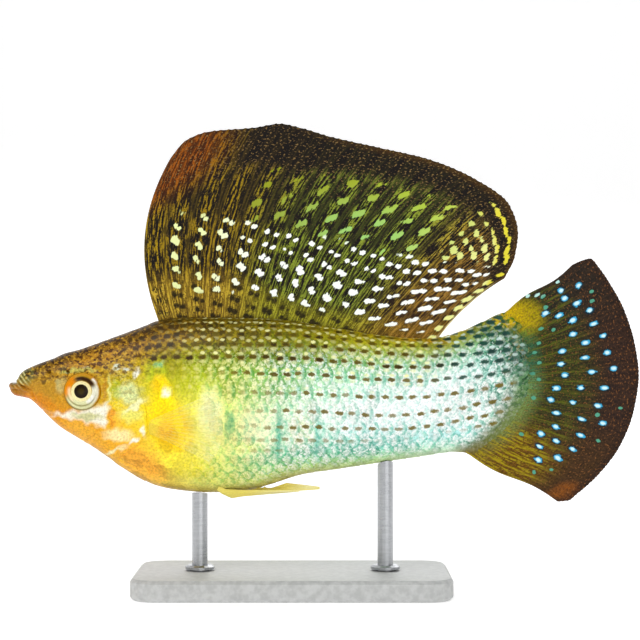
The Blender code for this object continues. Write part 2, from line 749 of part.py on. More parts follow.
def main():
    """Builds the whole model."""
    for piece in list(bpy.data.objects):
        bpy.data.objects.remove(piece)
    collection = new_collection("sailfin_molly")
    root = bpy.data.objects.new("fish_on_stand", None)
    collection.objects.link(root)
    parts = {}
    build_head(collection, parts)
    build_trunk(collection, parts)
    build_fins(collection, parts)
    build_stand(collection, parts)
    finishes = {
        "head": principled("olive gold head", (0.40, 0.30, 0.10), 0.35),
        "lower_jaw": principled("orange jaw", (0.72, 0.38, 0.16), 0.35),
        "gill_cover": principled("golden gill cover", (0.72, 0.50, 0.16), 0.3),
        "torso": principled("turquoise flank", (0.45, 0.62, 0.42), 0.3),
        "tail": principled("silver stem", (0.62, 0.74, 0.62), 0.3),
        "dorsal_fin": principled("dark spotted sail", (0.12, 0.09, 0.03), 0.4),
        "tail_fin": principled("dark brown tail fin", (0.10, 0.06, 0.03), 0.4),
        "pectoral_fin": principled("clear yellow fin", (0.75, 0.65, 0.35), 0.35),
        "pelvic_fin": principled("pale fin", (0.80, 0.76, 0.55), 0.35),
        "gonopodium": principled("gold fin rod", (0.75, 0.60, 0.30), 0.35),
        "eye": principled("gold eye", (0.55, 0.45, 0.20), 0.1),
        "stand_base": principled("grey stand base", (0.50, 0.50, 0.48), 0.5),
        "stand_rod": principled("steel rod", (0.60, 0.60, 0.60), 0.3, 1.0),
    }
    for name, (piece, origin) in parts.items():
        material = next(m for key, m in finishes.items() if name.startswith(key))
        finish(piece, origin, material, root)


main()
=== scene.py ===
"""Looks of a life-size sailfin molly on its display stand.

The flesh is one skin with the head's relief worked into it, and a coat of
overlapping scales lies on it. Fins and eyes are meshes of their own. The fish
faces -X with its left side towards -Y. Lengths are in millimetres until a mesh
is written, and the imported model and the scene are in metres.
"""

import logging
import math
from dataclasses import dataclass, field
from enum import Enum
from typing import Callable

import bpy
import numpy as np
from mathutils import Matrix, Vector


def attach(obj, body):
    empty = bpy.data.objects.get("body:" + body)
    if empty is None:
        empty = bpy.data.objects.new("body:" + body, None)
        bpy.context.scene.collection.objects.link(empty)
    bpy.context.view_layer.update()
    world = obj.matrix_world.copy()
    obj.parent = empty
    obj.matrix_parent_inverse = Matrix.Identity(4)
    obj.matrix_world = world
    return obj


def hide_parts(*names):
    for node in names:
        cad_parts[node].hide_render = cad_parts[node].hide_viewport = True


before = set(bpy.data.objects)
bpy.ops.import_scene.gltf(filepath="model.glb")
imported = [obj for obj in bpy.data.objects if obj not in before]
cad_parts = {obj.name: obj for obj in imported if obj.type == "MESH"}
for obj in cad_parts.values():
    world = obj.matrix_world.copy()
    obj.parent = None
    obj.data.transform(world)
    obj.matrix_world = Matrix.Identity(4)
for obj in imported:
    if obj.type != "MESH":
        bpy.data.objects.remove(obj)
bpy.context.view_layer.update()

LOG = logging.getLogger("sailfin_molly")
Array = np.ndarray
Pair = tuple[float, float]
Points = tuple[Pair, ...]
Values = dict[str, Array]
Tint = tuple[float, float, float]
Shade = tuple[float, float, float, float]
Socket = bpy.types.NodeSocket
Feed = float | tuple | Socket
Curve = Callable[[Array], Array]
MM = 0.001
SHARP_ANGLE = math.radians(42.0)
SEED = 29
SIDE_OFFSET = 400.0
PHOTO_MIDDLE = 324.0
PHOTO_FLOOR = 565.0
PHOTO_SCALE = 0.191
PHOTO_RISE = 5.0


def tone(screen: Tint) -> Array:
    """Gives the linear values, 0 to 1, of a colour as a screen shows it, 0 to 255."""
    value = np.array(screen, float) / 255.0
    return np.where(value <= 0.04045, value / 12.92, ((value + 0.055) / 1.055) ** 2.4)


def rgba(screen: Tint) -> tuple[float, float, float, float]:
    """Gives a screen colour as the four linear values that a socket takes."""
    return (*(float(part) for part in tone(screen)), 1.0)


def ease(value: Array, low: float, high: float) -> Array:
    """Rises smoothly from 0 at low to 1 at high, which may be the lower of the two."""
    share = np.clip((value - low) / (high - low), 0.0, 1.0)
    return share * share * (3.0 - 2.0 * share)


def bell(distance: Array, width: float) -> Array:
    """Gives a soft bump of height 1 round distance 0."""
    return np.exp(-((distance / width) ** 2))


def ripple(x: Array, z: Array, length: float, seed: int) -> Array:
    """Gives a soft unevenness from crossed waves, about -1 to 1.

    Args:
        x: places along the fish.
        z: heights.
        length: length of the longest waves.
        seed: seed of their headings.

    Returns:
        The unevenness at each point.
    """
    total = np.zeros(np.shape(x))
    for heading, phase, size in np.random.default_rng(seed).random((7, 3)):
        pace = 2.0 * math.pi / (length * (0.4 + 0.6 * size))
        run = x * math.cos(2.0 * math.pi * heading) + z * math.sin(2.0 * math.pi * heading)
        total = total + np.sin(pace * run + 2.0 * math.pi * phase)
    return total / 3.0


def blend(first: Array, second: Array, share: Array) -> Array:
    """Mixes two sets of colours by a share for each point."""
    return first + (second - first) * share[..., None]


def layered(colour: Array, *layers: tuple[Tint, Array]) -> Array:
    """Lays screen colours over linear ones, each by its share for each point.

    Args:
        colour: linear colour of each point.
        layers: screen colours with their shares.

    Returns:
        The linear colours.
    """
    for screen, share in layers:
        colour = blend(colour, tone(screen), share)
    return colour


def joined(*parts: Array) -> Array:
    """Sets the numbers of each point side by side."""
    return np.stack(parts, axis=-1)


def oval(x: Array, z: Array, middle: Pair, halves: Pair) -> Array:
    """Gives the distance from an oval's middle, 1 at its outline."""
    return np.hypot((x - middle[0]) / halves[0], (z - middle[1]) / halves[1])


def search(holds: Curve, low: Array, high: Array, rounds: int = 50) -> Array:
    """Finds the value up to which a test holds.

    Args:
        holds: the test.
        low: values at which it holds.
        high: values at which it doesn't.
        rounds: how often the stretch between them is halved.

    Returns:
        The values.
    """
    for _ in range(rounds):
        middle = 0.5 * (low + high)
        held = holds(middle)
        low, high = np.where(held, middle, low), np.where(held, high, middle)
    return 0.5 * (low + high)


def unit(vectors: Array) -> Array:
    """Gives the vectors at length 1."""
    length = np.linalg.norm(vectors, axis=-1, keepdims=True)
    return vectors / np.maximum(length, 1e-9)


class SmoothCurve:
    """Runs through its points with no overshoot."""

    def __init__(self, points: Points) -> None:
        """Works out the slope at each point.

        Args:
            points: place and value pairs, in rising order of place.
        """
        self.places = np.array([p[0] for p in points], float)
        self.values = np.array([p[1] for p in points], float)
        self.steps = np.diff(self.places)
        rises = np.diff(self.values) / self.steps
        self.slopes = np.zeros(len(points))
        self.slopes[0], self.slopes[-1] = rises[0], rises[-1]
        for i in range(1, len(points) - 1):
            if rises[i - 1] * rises[i] > 0.0:
                before = 2.0 * self.steps[i] + self.steps[i - 1]
                after = self.steps[i] + 2.0 * self.steps[i - 1]
                self.slopes[i] = (before + after) / (before / rises[i - 1] + after / rises[i])

    def __call__(self, place: Array) -> Array:
        """Reads the curve.

        Args:
            place: where to read it; past the ends it keeps its end values.

        Returns:
            The values there.
        """
        place = np.clip(np.asarray(place, float), self.places[0], self.places[-1])
        i = np.clip(np.searchsorted(self.places, place) - 1, 0, len(self.steps) - 1)
        h = self.steps[i]
        t = (place - self.places[i]) / h
        return (
            (1 + 2 * t) * (1 - t) ** 2 * self.values[i]
            + t * (1 - t) ** 2 * h * self.slopes[i]
            + t * t * (3 - 2 * t) * self.values[i + 1]
            + t * t * (t - 1) * h * self.slopes[i + 1]
        )


class SmoothPath:
    """A rounded path through points of the middle plane, read from 0 to 1."""

    def __init__(self, points: Points) -> None:
        """Measures the path.

        Args:
            points: place along the fish and height of each point.
        """
        lengths = [0.0]
        for a, b in zip(points, points[1:]):
            lengths.append(lengths[-1] + math.dist(a, b))
        self.length = lengths[-1]
        self.along_x = SmoothCurve(tuple((s, p[0]) for s, p in zip(lengths, points)))
        self.along_z = SmoothCurve(tuple((s, p[1]) for s, p in zip(lengths, points)))

    def __call__(self, share: Array) -> Array:
        """Gives the points at shares of the path's length."""
        reach = share * self.length
        return joined(self.along_x(reach), np.zeros_like(reach), self.along_z(reach))


@dataclass(frozen=True)
class BodyShape:
    """Outlines and sections of the fish's body, as the solids have them."""

    snout_x: float = -60.0
    stem_x: float = 23.7
    clearance: float = 0.3
    back: SmoothCurve = SmoothCurve((
        (-60.0, 39.2), (-59.7, 39.5), (-58.5, 39.6), (-58.1, 41.2), (-57.3, 42.1),
        (-56.2, 42.7), (-50.4, 44.9), (-42.8, 47.6), (-35.1, 50.4), (-31.0, 51.9),
        (-25.6, 52.4), (-11.5, 52.2), (3.1, 50.2), (10.7, 49.0), (18.0, 48.4),
        (22.2, 48.6), (26.0, 49.7), (34.6, 53.5), (44.0, 56.0),
    ))
    belly: SmoothCurve = SmoothCurve((
        (-60.0, 38.8), (-59.6, 38.0), (-58.8, 37.4), (-57.4, 37.1), (-56.2, 36.8),
        (-55.0, 35.9), (-53.9, 34.8), (-50.4, 31.5), (-46.6, 29.1), (-42.8, 26.8),
        (-35.1, 21.5), (-31.3, 20.0), (-26.5, 19.2), (-20.8, 18.9), (-15.1, 19.2),
        (-10.3, 20.4), (-4.2, 22.3), (3.1, 23.4), (18.3, 25.7), (25.0, 26.6),
        (29.4, 25.8), (44.0, 24.0),
    ))
    half_width: SmoothCurve = SmoothCurve((
        (-60.0, 0.3), (-59.6, 1.5), (-58.8, 2.4), (-57.3, 3.1), (-54.0, 3.9),
        (-50.0, 4.8), (-45.0, 5.7), (-40.0, 6.5), (-34.0, 7.2), (-26.0, 7.6),
        (-18.0, 7.5), (-8.0, 6.9), (2.0, 6.1), (12.0, 5.2), (20.0, 4.4),
        (26.0, 3.6), (31.0, 2.7), (36.0, 1.7), (44.0, 1.1),
    ))
    widest: SmoothCurve = SmoothCurve((
        (-60.0, 0.5), (-50.0, 0.5), (-36.0, 0.5), (-20.0, 0.46), (10.0, 0.47), (44.0, 0.5),
    ))
    back_fullness: SmoothCurve = SmoothCurve((
        (-60.0, 0.75), (-50.0, 0.62), (-38.0, 0.72), (-20.0, 0.86), (20.0, 0.95), (44.0, 1.0),
    ))
    belly_fullness: SmoothCurve = SmoothCurve((
        (-60.0, 0.7), (-50.0, 0.85), (-36.0, 0.9), (-20.0, 0.84), (10.0, 1.0), (44.0, 1.05),
    ))
    gill: SmoothCurve = SmoothCurve((
        (14.0, -50.0), (24.0, -42.0), (26.0, -38.6), (28.5, -35.0), (31.2, -33.2),
        (34.6, -33.3), (39.4, -34.9), (44.0, -35.6), (53.0, -35.5), (60.0, -35.5),
    ))
    tail: SmoothCurve = SmoothCurve((
        (18.0, 21.0), (26.4, 27.6), (33.0, 34.6), (39.4, 37.4), (47.0, 36.9),
        (53.5, 34.6), (60.0, 31.0),
    ))
    mouth: SmoothCurve = SmoothCurve(((-61.0, 39.8), (-58.4, 39.7), (-55.7, 38.65), (-50.0, 37.0)))

    def depth(self, x: Array, z: Array) -> Array:
        """Gives how far down the flank a point is, 0 at the back and 1 at the belly."""
        top, bottom = self.back(x), self.belly(x)
        return np.clip((top - z) / (top - bottom), 0.0, 1.0)

    def width(self, x: Array, z: Array) -> Array:
        """Gives the half width of the body.

        Args:
            x: places along the fish.
            z: heights there.

        Returns:
            Distance of the flank from the middle plane.
        """
        depth = self.depth(x, z) ** (math.log(0.5) / np.log(self.widest(x)))
        fullness = np.where(depth < 0.5, self.back_fullness(x), self.belly_fullness(x))
        swing = np.sqrt(np.maximum(1.0 - (1.0 - 2.0 * depth) ** 2, 0.0))
        return self.half_width(x) * swing ** fullness

    def flank_point(self, x: float, z: float, rise: float) -> Array:
        """Gives a point of the right flank, lifted off the skin.

        Args:
            x: place along the fish.
            z: height.
            rise: distance along the skin's normal.

        Returns:
            The point.
        """
        step = 0.05
        along = (self.width(x + step, z) - self.width(x - step, z)) / (2 * step)
        up = (self.width(x, z + step) - self.width(x, z - step)) / (2 * step)
        normal = unit(np.array([-float(along), 1.0, -float(up)]))
        return np.array([x, float(self.width(x, z)), z]) + normal * rise

    def underside(self, x: Array, y: Array) -> Array:
        """Gives the height of the belly's skin beside the middle plane.

        Args:
            x: places along the fish.
            y: distances from the middle plane.

        Returns:
            The height at each point.
        """
        low = self.belly(x)
        high = low + 0.5 * (self.back(x) - low)
        return search(lambda z: self.width(x, z) < np.abs(y), low, high)


class FlankMap:
    """The flank spread flat: place along the fish, and girth from the mid row."""

    ENDS: Pair = (-59.5, 42.0)
    MID_ROW = SmoothCurve((
        (-60.0, 39.5), (-36.0, 38.8), (-4.6, 38.2), (14.5, 37.2), (25.0, 38.0), (37.0, 40.0),
    ))
    PAST_MIDLINE = 0.25

    def __init__(self, shape: BodyShape, stations: int = 420, steps: int = 240) -> None:
        """Measures the flank.

        Args:
            shape: the body.
            stations: number of sections measured.
            steps: number of points from back to belly.
        """
        self.shape = shape
        self.xs = np.linspace(*self.ENDS, stations)
        turn = np.linspace(0.0, math.pi, 4 * steps)
        share = np.linspace(-self.PAST_MIDLINE, 1.0 + self.PAST_MIDLINE, int(1.5 * steps) + 1)
        self.shares = share
        folded = np.where(share > 1.0, 2.0 - share, np.abs(share))
        flip = np.where((share < 0.0) | (share > 1.0), -1.0, 1.0)
        points = []
        self.girth = np.zeros(stations)
        self.above = np.zeros(stations)
        for i, x in enumerate(self.xs):
            top, bottom = float(shape.back(x)), float(shape.belly(x))
            z = 0.5 * (top + bottom) + 0.5 * (top - bottom) * np.cos(turn)
            y = shape.width(np.full_like(z, x), z)
            y[0] = y[-1] = 0.0
            run = np.concatenate([[0.0], np.cumsum(np.hypot(np.diff(y), np.diff(z)))])
            self.girth[i] = run[-1]
            self.above[i] = np.interp(-float(self.MID_ROW(x)), -z, run)
            place = folded * run[-1]
            points.append(joined(
                np.full_like(share, x), flip * np.interp(place, run, y), np.interp(place, run, z),
            ))
        self.points = np.array(points)
        along = np.gradient(self.points, self.xs, axis=0)
        down = np.gradient(self.points, share, axis=1)
        self.normals = unit(np.cross(along, down))

    def share(self, x: Array, girth: Array) -> Array:
        """Gives the share from back to belly at a girth above the mid row."""
        above = np.interp(x, self.xs, self.above)
        return (above - girth) / np.interp(x, self.xs, self.girth)

    def at(self, x: Array, girth: Array, lift: Array) -> Array:
        """Gives points of the right flank.

        Args:
            x: places along the fish.
            girth: distance over the skin above the mid row.
            lift: height over the skin.

        Returns:
            The points.
        """
        first, last = self.xs[0], self.xs[-1]
        row = np.clip((x - first) / (last - first) * (len(self.xs) - 1), 0, len(self.xs) - 1.001)
        start = self.shares[0]
        width = self.shares[-1] - start
        column = (self.share(x, girth) - start) / width * (len(self.shares) - 1)
        column = np.clip(column, 0, len(self.shares) - 1.001)
        i, j = row.astype(int), column.astype(int)
        u, v = (row - i)[..., None], (column - j)[..., None]

        def read(table: Array) -> Array:
            """Reads a table between its points.

            Args:
                table: values at the map's points.

            Returns:
                The values at the places asked for.
            """
            near = table[i, j] * (1 - v) + table[i, j + 1] * v
            far = table[i + 1, j] * (1 - v) + table[i + 1, j + 1] * v
            return near * (1 - u) + far * u

        return read(self.points) + unit(read(self.normals)) * lift[..., None]


@dataclass
class MeshDraft:
    """Points, faces, maps and painted values gathered for one mesh."""

    points: list[Array] = field(default_factory=list)
    faces: list[tuple[Array, Array]] = field(default_factory=list)
    values: list[Values] = field(default_factory=list)
    count: int = 0

    def add_points(self, points: Array, values: Values) -> int:
        """Adds points and what is painted on them.

        Args:
            points: places, in millimetres.
            values: painted values by name, one row for each point.

        Returns:
            Number of the first new point.
        """
        first = self.count
        flat = points.reshape(-1, 3)
        self.points.append(flat)
        self.values.append({key: part.reshape(len(flat), -1) for key, part in values.items()})
        self.count += len(flat)
        return first

    def add_faces(self, corners: Array, maps: Array) -> None:
        """Adds faces with equal numbers of corners, and their places on the map."""
        self.faces.append((corners, maps))

    def add_grid(
        self, points: Array, maps: Array, values: Values, wrap: bool = False, flip: bool = False
    ) -> int:
        """Adds a sheet of four-sided faces.

        Args:
            points: rows and columns of places.
            maps: places on the map, with one more column where the sheet wraps.
            values: painted values by name.
            wrap: whether the last column meets the first.
            flip: whether the faces look the other way.

        Returns:
            Number of the sheet's first point.
        """
        rows, columns = points.shape[:2]
        first = self.add_points(points, values)
        index = first + np.arange(rows * columns).reshape(rows, columns)
        if wrap:
            index = np.concatenate([index, index[:, :1]], axis=1)
        self.add_faces(*(quads(sheet, flip) for sheet in (index, maps)))
        return first

    def piece(self, name: str, material: bpy.types.Material) -> bpy.types.Object:
        """Makes the object.

        Args:
            name: the piece's name.
            material: its finish.

        Returns:
            The object, linked to the scene.
        """
        mesh = bpy.data.meshes.new(name)
        points = np.concatenate(self.points) * MM
        mesh.vertices.add(len(points))
        mesh.vertices.foreach_set("co", points.astype(np.float32).ravel())
        sizes = np.concatenate([np.full(len(c), c.shape[1]) for c, _ in self.faces])
        corners = np.concatenate([c.ravel() for c, _ in self.faces])
        mesh.loops.add(len(corners))
        mesh.loops.foreach_set("vertex_index", corners.astype(np.int32))
        mesh.polygons.add(len(sizes))
        starts = np.concatenate([[0], np.cumsum(sizes)[:-1]])
        mesh.polygons.foreach_set("loop_start", starts.astype(np.int32))
        mesh.update(calc_edges=True)
        maps = np.concatenate([m.reshape(-1, 2) for _, m in self.faces])
        layer = mesh.uv_layers.new(name="OFBake")
        layer.data.foreach_set("uv", maps.astype(np.float32).ravel())
        for key in self.values[0]:
            self.paint(mesh, key, np.concatenate([part[key] for part in self.values]))
        mesh.materials.append(material)
        mesh.shade_smooth()
        mesh.set_sharp_from_angle(angle=SHARP_ANGLE)
        obj = bpy.data.objects.new(name, mesh)
        bpy.context.scene.collection.objects.link(obj)
        return obj

    @staticmethod
    def paint(mesh: bpy.types.Mesh, key: str, values: Array) -> None:
        """Writes a painted value: three columns as a place, four as a colour.

        Args:
            mesh: what is painted.
            key: name of the value.
            values: a row for each point.
        """
        kind = "vector" if values.shape[1] == 3 else "color"
        layer = mesh.attributes.new(key, "FLOAT_" + kind.upper(), "POINT")
        layer.data.foreach_set(kind, values.astype(np.float32).ravel())


def quads(sheet: Array, flip: bool = False) -> Array:
    """Gives the four corners of each cell of a sheet.

    Args:
        sheet: rows and columns of anything.
        flip: whether the corners run the other way round.

    Returns:
        One row of four corners for each cell.
    """
    corners = [sheet[:-1, :-1], sheet[1:, :-1], sheet[1:, 1:], sheet[:-1, 1:]]
    if flip:
        corners.reverse()
    stacked = np.stack(corners, axis=2)
    return stacked.reshape(-1, 4, *sheet.shape[2:])


def strip(first: Array, second: Array, run: Array, band: Pair, flip: bool) -> tuple[Array, Array]:
    """Gives the corners and map places of a strip of faces between two numbered rows of points."""
    maps = np.stack([joined(np.full(len(run), across), run) for across in band], axis=1)
    return quads(np.stack([first, second], axis=1), flip), quads(maps, flip)


def four(colour: Array) -> Array:
    """Adds a full fourth column to colours."""
    return np.concatenate([colour, np.ones((*colour.shape[:-1], 1))], axis=-1)


def grid_normals(points: Array, wrap: bool) -> Array:
    """Gives the normals of a sheet of points.

    Args:
        points: rows and columns of places.
        wrap: whether the last column meets the first.

    Returns:
        The normals, along rows crossed with columns.
    """
    along = np.gradient(points, axis=0)
    if wrap:
        across = np.roll(points, -1, axis=1) - np.roll(points, 1, axis=1)
    else:
        across = np.gradient(points, axis=1)
    return unit(np.cross(along, across))


class NodeSheet:
    """A material's nodes, laid out with one short call for each."""

    def __init__(self, name: str) -> None:
        """Starts a material with a Principled shader.

        Args:
            name: the material's name.
        """
        self.material = bpy.data.materials.new(name)
        self.material.use_nodes = True
        self.tree = self.material.node_tree
        self.shader = self.tree.nodes["Principled BSDF"]

    def feed(self, socket: Socket, value: Feed) -> None:
        """Links a socket, or sets its value.

        Args:
            socket: what is fed.
            value: a number, a colour or another node's output.
        """
        if isinstance(value, Socket):
            self.tree.links.new(value, socket)
        else:
            socket.default_value = value

    def node(self, kind: str, feeds: dict[int | str, Feed], **settings: object) -> bpy.types.Node:
        """Adds a node.

        Args:
            kind: its type, after the common prefix.
            feeds: what goes into its sockets.
            settings: its options.

        Returns:
            The node.
        """
        node = self.tree.nodes.new("ShaderNode" + kind)
        for key, value in settings.items():
            setattr(node, key, value)
        for socket, value in feeds.items():
            self.feed(node.inputs[socket], value)
        return node

    def set(self, **feeds: Feed) -> None:
        """Feeds the shader's sockets, named with _ for each space."""
        for key, value in feeds.items():
            self.feed(self.shader.inputs[key.replace("_", " ")], value)

    def painted(self, name: str) -> bpy.types.Node:
        """Reads a value painted on the mesh."""
        return self.node("Attribute", {}, attribute_name=name)

    def parts(self, colour: Feed) -> list[Socket]:
        """Splits a colour or place in its three numbers."""
        return list(self.node("SeparateXYZ", {0: colour}).outputs)

    def sum(self, kind: str, first: Feed, second: Feed = 0.0) -> Socket:
        """Works out a sum of two numbers."""
        return self.node("Math", {0: first, 1: second}, operation=kind).outputs[0]

    def product(self, *parts: Feed) -> Socket:
        """Multiplies numbers.

        Args:
            parts: what is multiplied.

        Returns:
            The product.
        """
        result = parts[0]
        for part in parts[1:]:
            result = self.sum("MULTIPLY", result, part)
        return result

    def mix(self, share: Feed, first: Feed, second: Feed, kind: str = "MIX") -> Socket:
        """Lays a second colour over a first, by a share and in a way of mixing."""
        feeds = {0: share, 6: first, 7: second}
        return self.node("Mix", feeds, data_type="RGBA", blend_type=kind).outputs[2]

    def times(self, colour: Feed, shade: Feed) -> Socket:
        """Multiplies a colour by another."""
        return self.mix(1.0, colour, shade, "MULTIPLY")

    def ease(self, value: Feed, low: float, high: float, start: float = 0.0, end: float = 1.0) -> Socket:
        """Turns a value smoothly from a start to an end between low and high."""
        feeds = {0: value, 1: low, 2: high, 3: start, 4: end}
        return self.node("MapRange", feeds, interpolation_type="SMOOTHSTEP").outputs[0]

    def noise(self, place: Feed, scale: float, detail: float = 3.0) -> Socket:
        """Gives a cloudy value round a half."""
        feeds = {"Vector": place, "Scale": scale, "Detail": detail, "Roughness": 0.6}
        return self.node("TexNoise", feeds, noise_dimensions="2D").outputs[0]

    def cells(self, place: Feed, scale: float) -> tuple[Socket, Socket]:
        """Gives the distance from a cell's middle, and a random number for the cell."""
        node = self.node("TexVoronoi", {"Vector": place, "Scale": scale}, voronoi_dimensions="2D")
        return node.outputs["Distance"], self.parts(node.outputs["Color"])[0]

    def stretch(self, place: Feed, x: float, y: float, shift: float = 0.0) -> Socket:
        """Scales a place by two factors, and shifts it."""
        return self.node("Mapping", {0: place, 1: (shift, shift, 0.0), 3: (x, y, 1.0)}).outputs[0]

    def bump(self, height: Feed, strength: float, depth: float) -> Socket:
        """Turns a height in millimetres of depth into a normal."""
        feeds = {"Strength": strength, "Distance": depth * MM, "Height": height}
        return self.node("Bump", feeds).outputs[0]


class Cover(Enum):
    """What a finish of the hide lies on."""

    SKIN = "skin"
    SCALES = "scales"


@dataclass(frozen=True)
class HideFinish:
    """Pigment, freckles and glitter of skin and scales; the glitter is white cells painted in as glints, a
    painted reflection.
    """

    name: str
    cover: Cover
    glint: Tint = (255, 255, 252)
    nape_glint: Tint = (246, 244, 150)
    fleck: Tint = (170, 126, 30)
    pearl: Tint = (246, 246, 172)
    nape_pearl: Tint = (238, 218, 120)
    stem_pearl: Tint = (220, 250, 246)
    rust: Tint = (124, 108, 4)
    nape_rust: Tint = (70, 46, 6)
    stem_rust: Tint = (18, 78, 60)
    dash: Tint = (50, 38, 0)
    stem_dash: Tint = (8, 48, 42)
    freckle_shade: Shade = (0.24, 0.17, 0.05, 1.0)
    stem_shade: Shade = (0.12, 0.38, 0.3, 1.0)
    between_shade: Shade = (0.34, 0.74, 0.68, 1.0)
    rim_shade: Shade = (0.36, 0.7, 0.6, 1.0)
    roughness: float = 0.36

    def material(self) -> bpy.types.Material:
        """Builds the material.

        Returns:
            A finish that reads the paint, traits and flat place of each point.
        """
        sheet = NodeSheet(self.name)
        place = sheet.painted("flat").outputs["Vector"]
        station = sheet.parts(place)[0]
        traits = sheet.painted("traits")
        dash, glitter, freckle = sheet.parts(traits.outputs["Color"])
        grain = sheet.noise(place, 2.2, 4.0)
        mottle = sheet.noise(sheet.stretch(place, 0.9, 1.15, 31.0), 0.9, 2.0)
        colour = sheet.painted("paint").outputs["Color"]
        colour = sheet.times(colour, sheet.ease(grain, 0.25, 0.75, 0.8, 1.2))
        shade = sheet.mix(sheet.ease(station, 22.0, 30.0), self.freckle_shade, self.stem_shade)
        freckled = sheet.product(sheet.ease(mottle, 0.44, 0.6), freckle)
        colour = sheet.mix(freckled, colour, sheet.times(colour, shade))
        speck = sheet.noise(sheet.stretch(place, 1.0, 1.0, 77.0), 1.4, 1.5)
        flecked = sheet.product(sheet.ease(speck, 0.5, 0.68), traits.outputs["Alpha"])
        colour = sheet.mix(flecked, colour, sheet.mix(1.0, colour, rgba(self.fleck), "SCREEN"))
        # Glitter: cells painted white as glints of the silvery scales, a painted reflection, with teal
        # between them.
        bend = sheet.node("TexNoise", {"Vector": place, "Scale": 1.4}, noise_dimensions="2D")
        bent = sheet.node("VectorMath", {0: bend.outputs["Color"], 1: place}, operation="ADD").outputs[0]
        distance, chance = sheet.cells(bent, 1.9)
        power = 0.95 if self.cover is Cover.SKIN else 0.8
        between = sheet.product(sheet.ease(distance, 0.3, 0.6, 0.0, 0.5 * power), glitter)
        colour = sheet.mix(between, colour, sheet.times(colour, self.between_shade))
        chosen = sheet.ease(chance, 0.3, 0.55, 0.0, power)
        bright = sheet.product(sheet.ease(distance, 0.58, 0.22), chosen, glitter)
        glint = sheet.mix(sheet.ease(station, -3.0, -20.0), rgba(self.glint), rgba(self.nape_glint))
        colour = sheet.mix(bright, colour, glint)
        if self.cover is Cover.SCALES:
            strengths = (glitter, dash, freckle)
            colour = self.mark_scales(sheet, colour, glint, strengths, (station, grain, mottle))
        rough = sheet.ease(grain, 0.2, 0.8, self.roughness - 0.1, self.roughness + 0.12)
        sheet.set(Base_Color=colour, Roughness=rough, Metallic=sheet.ease(bright, 0.0, 1.0, 0.0, 0.15))
        sheet.set(Coat_Weight=0.08, Coat_Roughness=0.2, Specular_IOR_Level=0.14)
        sheet.set(Normal=sheet.bump(grain, 0.3, 0.1))
        return sheet.material

    def mark_scales(
        self, sheet: NodeSheet, colour: Feed, glint: Feed, traits: tuple[Feed, ...], place: tuple[Feed, ...]
    ) -> Socket:
        """Draws a painted glint across each scale, the tinted rim, the dark dash and the pale spots of each
        scale.

        Args:
            sheet: the material's nodes.
            colour: colour so far.
            glint: colour of the painted glints.
            traits: strengths of the painted glints and the rim, of the dash and of the dark round it.
            place: place along the fish, a fine cloudy value that roughens the outlines,
                and a coarse one that breaks up the rim.

        Returns:
            The colour with all of them.
        """
        glitter, dash, freckle = traits
        station, grain, mottle = place
        local = sheet.painted("local")
        across, along, pearl = sheet.parts(local.outputs["Color"])
        run = local.outputs["Alpha"]
        wobble = sheet.product(sheet.sum("SUBTRACT", grain, 0.5), 2.6)
        nape = sheet.ease(station, -20.0, -31.0)
        stem = sheet.product(sheet.ease(station, 17.0, 26.0), sheet.ease(pearl, 0.04, 0.25))

        def spot(side: float, middle: float, half_across: float, half_along: float) -> Socket:
            """Gives an oval on the scale, 1 inside and 0 outside.

            Args:
                side: distance of its middle from the scale's middle line.
                middle: place of its middle along the scale.
                half_across: half of its width.
                half_along: half of its length.

            Returns:
                The oval's socket.
            """
            away = sheet.sum("DIVIDE", sheet.sum("SUBTRACT", across, side), half_across)
            end = sheet.sum("DIVIDE", sheet.sum("SUBTRACT", along, middle), half_along)
            square = sheet.sum("ADD", sheet.product(away, away), sheet.product(end, end))
            return sheet.ease(sheet.sum("ADD", square, wobble), 1.6, 0.35)

        def by_place(plain: Tint, ahead: Tint, behind: Tint) -> Socket:
            """Gives a tint that changes towards the nape and towards the tail stem."""
            return sheet.mix(stem, sheet.mix(nape, rgba(plain), rgba(ahead)), rgba(behind))

        rust = by_place(self.rust, self.nape_rust, self.stem_rust)
        deep = by_place(self.dash, self.dash, self.stem_dash)
        pale = by_place(self.pearl, self.nape_pearl, self.stem_pearl)
        white = sheet.ease(sheet.parts(sheet.painted("paint").outputs["Color"])[0], 0.75, 1.0, 1.0, 0.5)
        # Painted highlight: a glint band across the middle of each scale's exposed part.
        behind, ahead = sheet.ease(run, 0.62, 0.74), sheet.ease(run, 0.94, 0.87)
        lit = sheet.product(behind, ahead, sheet.ease(grain, 0.32, 0.5), glitter, 0.4)
        colour = sheet.mix(lit, colour, glint)
        span = sheet.ease(sheet.sum("ABSOLUTE", across), 1.9, 0.8, 0.25, 1.0)
        rim = sheet.product(sheet.ease(run, 0.8, 0.9), sheet.ease(mottle, 0.32, 0.54), span, white, 0.85)
        rim = sheet.product(rim, sheet.sum("MAXIMUM", glitter, sheet.product(pearl, 0.6)))
        colour = sheet.mix(rim, colour, sheet.times(colour, self.rim_shade))
        colour = sheet.mix(sheet.product(spot(-0.1, 0.7, 0.66, 0.17), dash, freckle, 0.9), colour, deep)
        core = sheet.product(spot(-0.08, 0.7, 0.4, 0.14), dash)
        colour = sheet.mix(sheet.sum("MINIMUM", sheet.product(core, 1.6), 0.93), colour, rust)
        colour = sheet.mix(sheet.sum("MINIMUM", sheet.product(core, core, core, 1.1), 0.93), colour, deep)
        colour = sheet.mix(sheet.product(spot(-0.86, 0.72, 0.34, 0.12), pearl, 0.5), colour, pale)
        return sheet.mix(sheet.product(spot(0.76, 0.71, 0.32, 0.09), pearl), colour, pale)


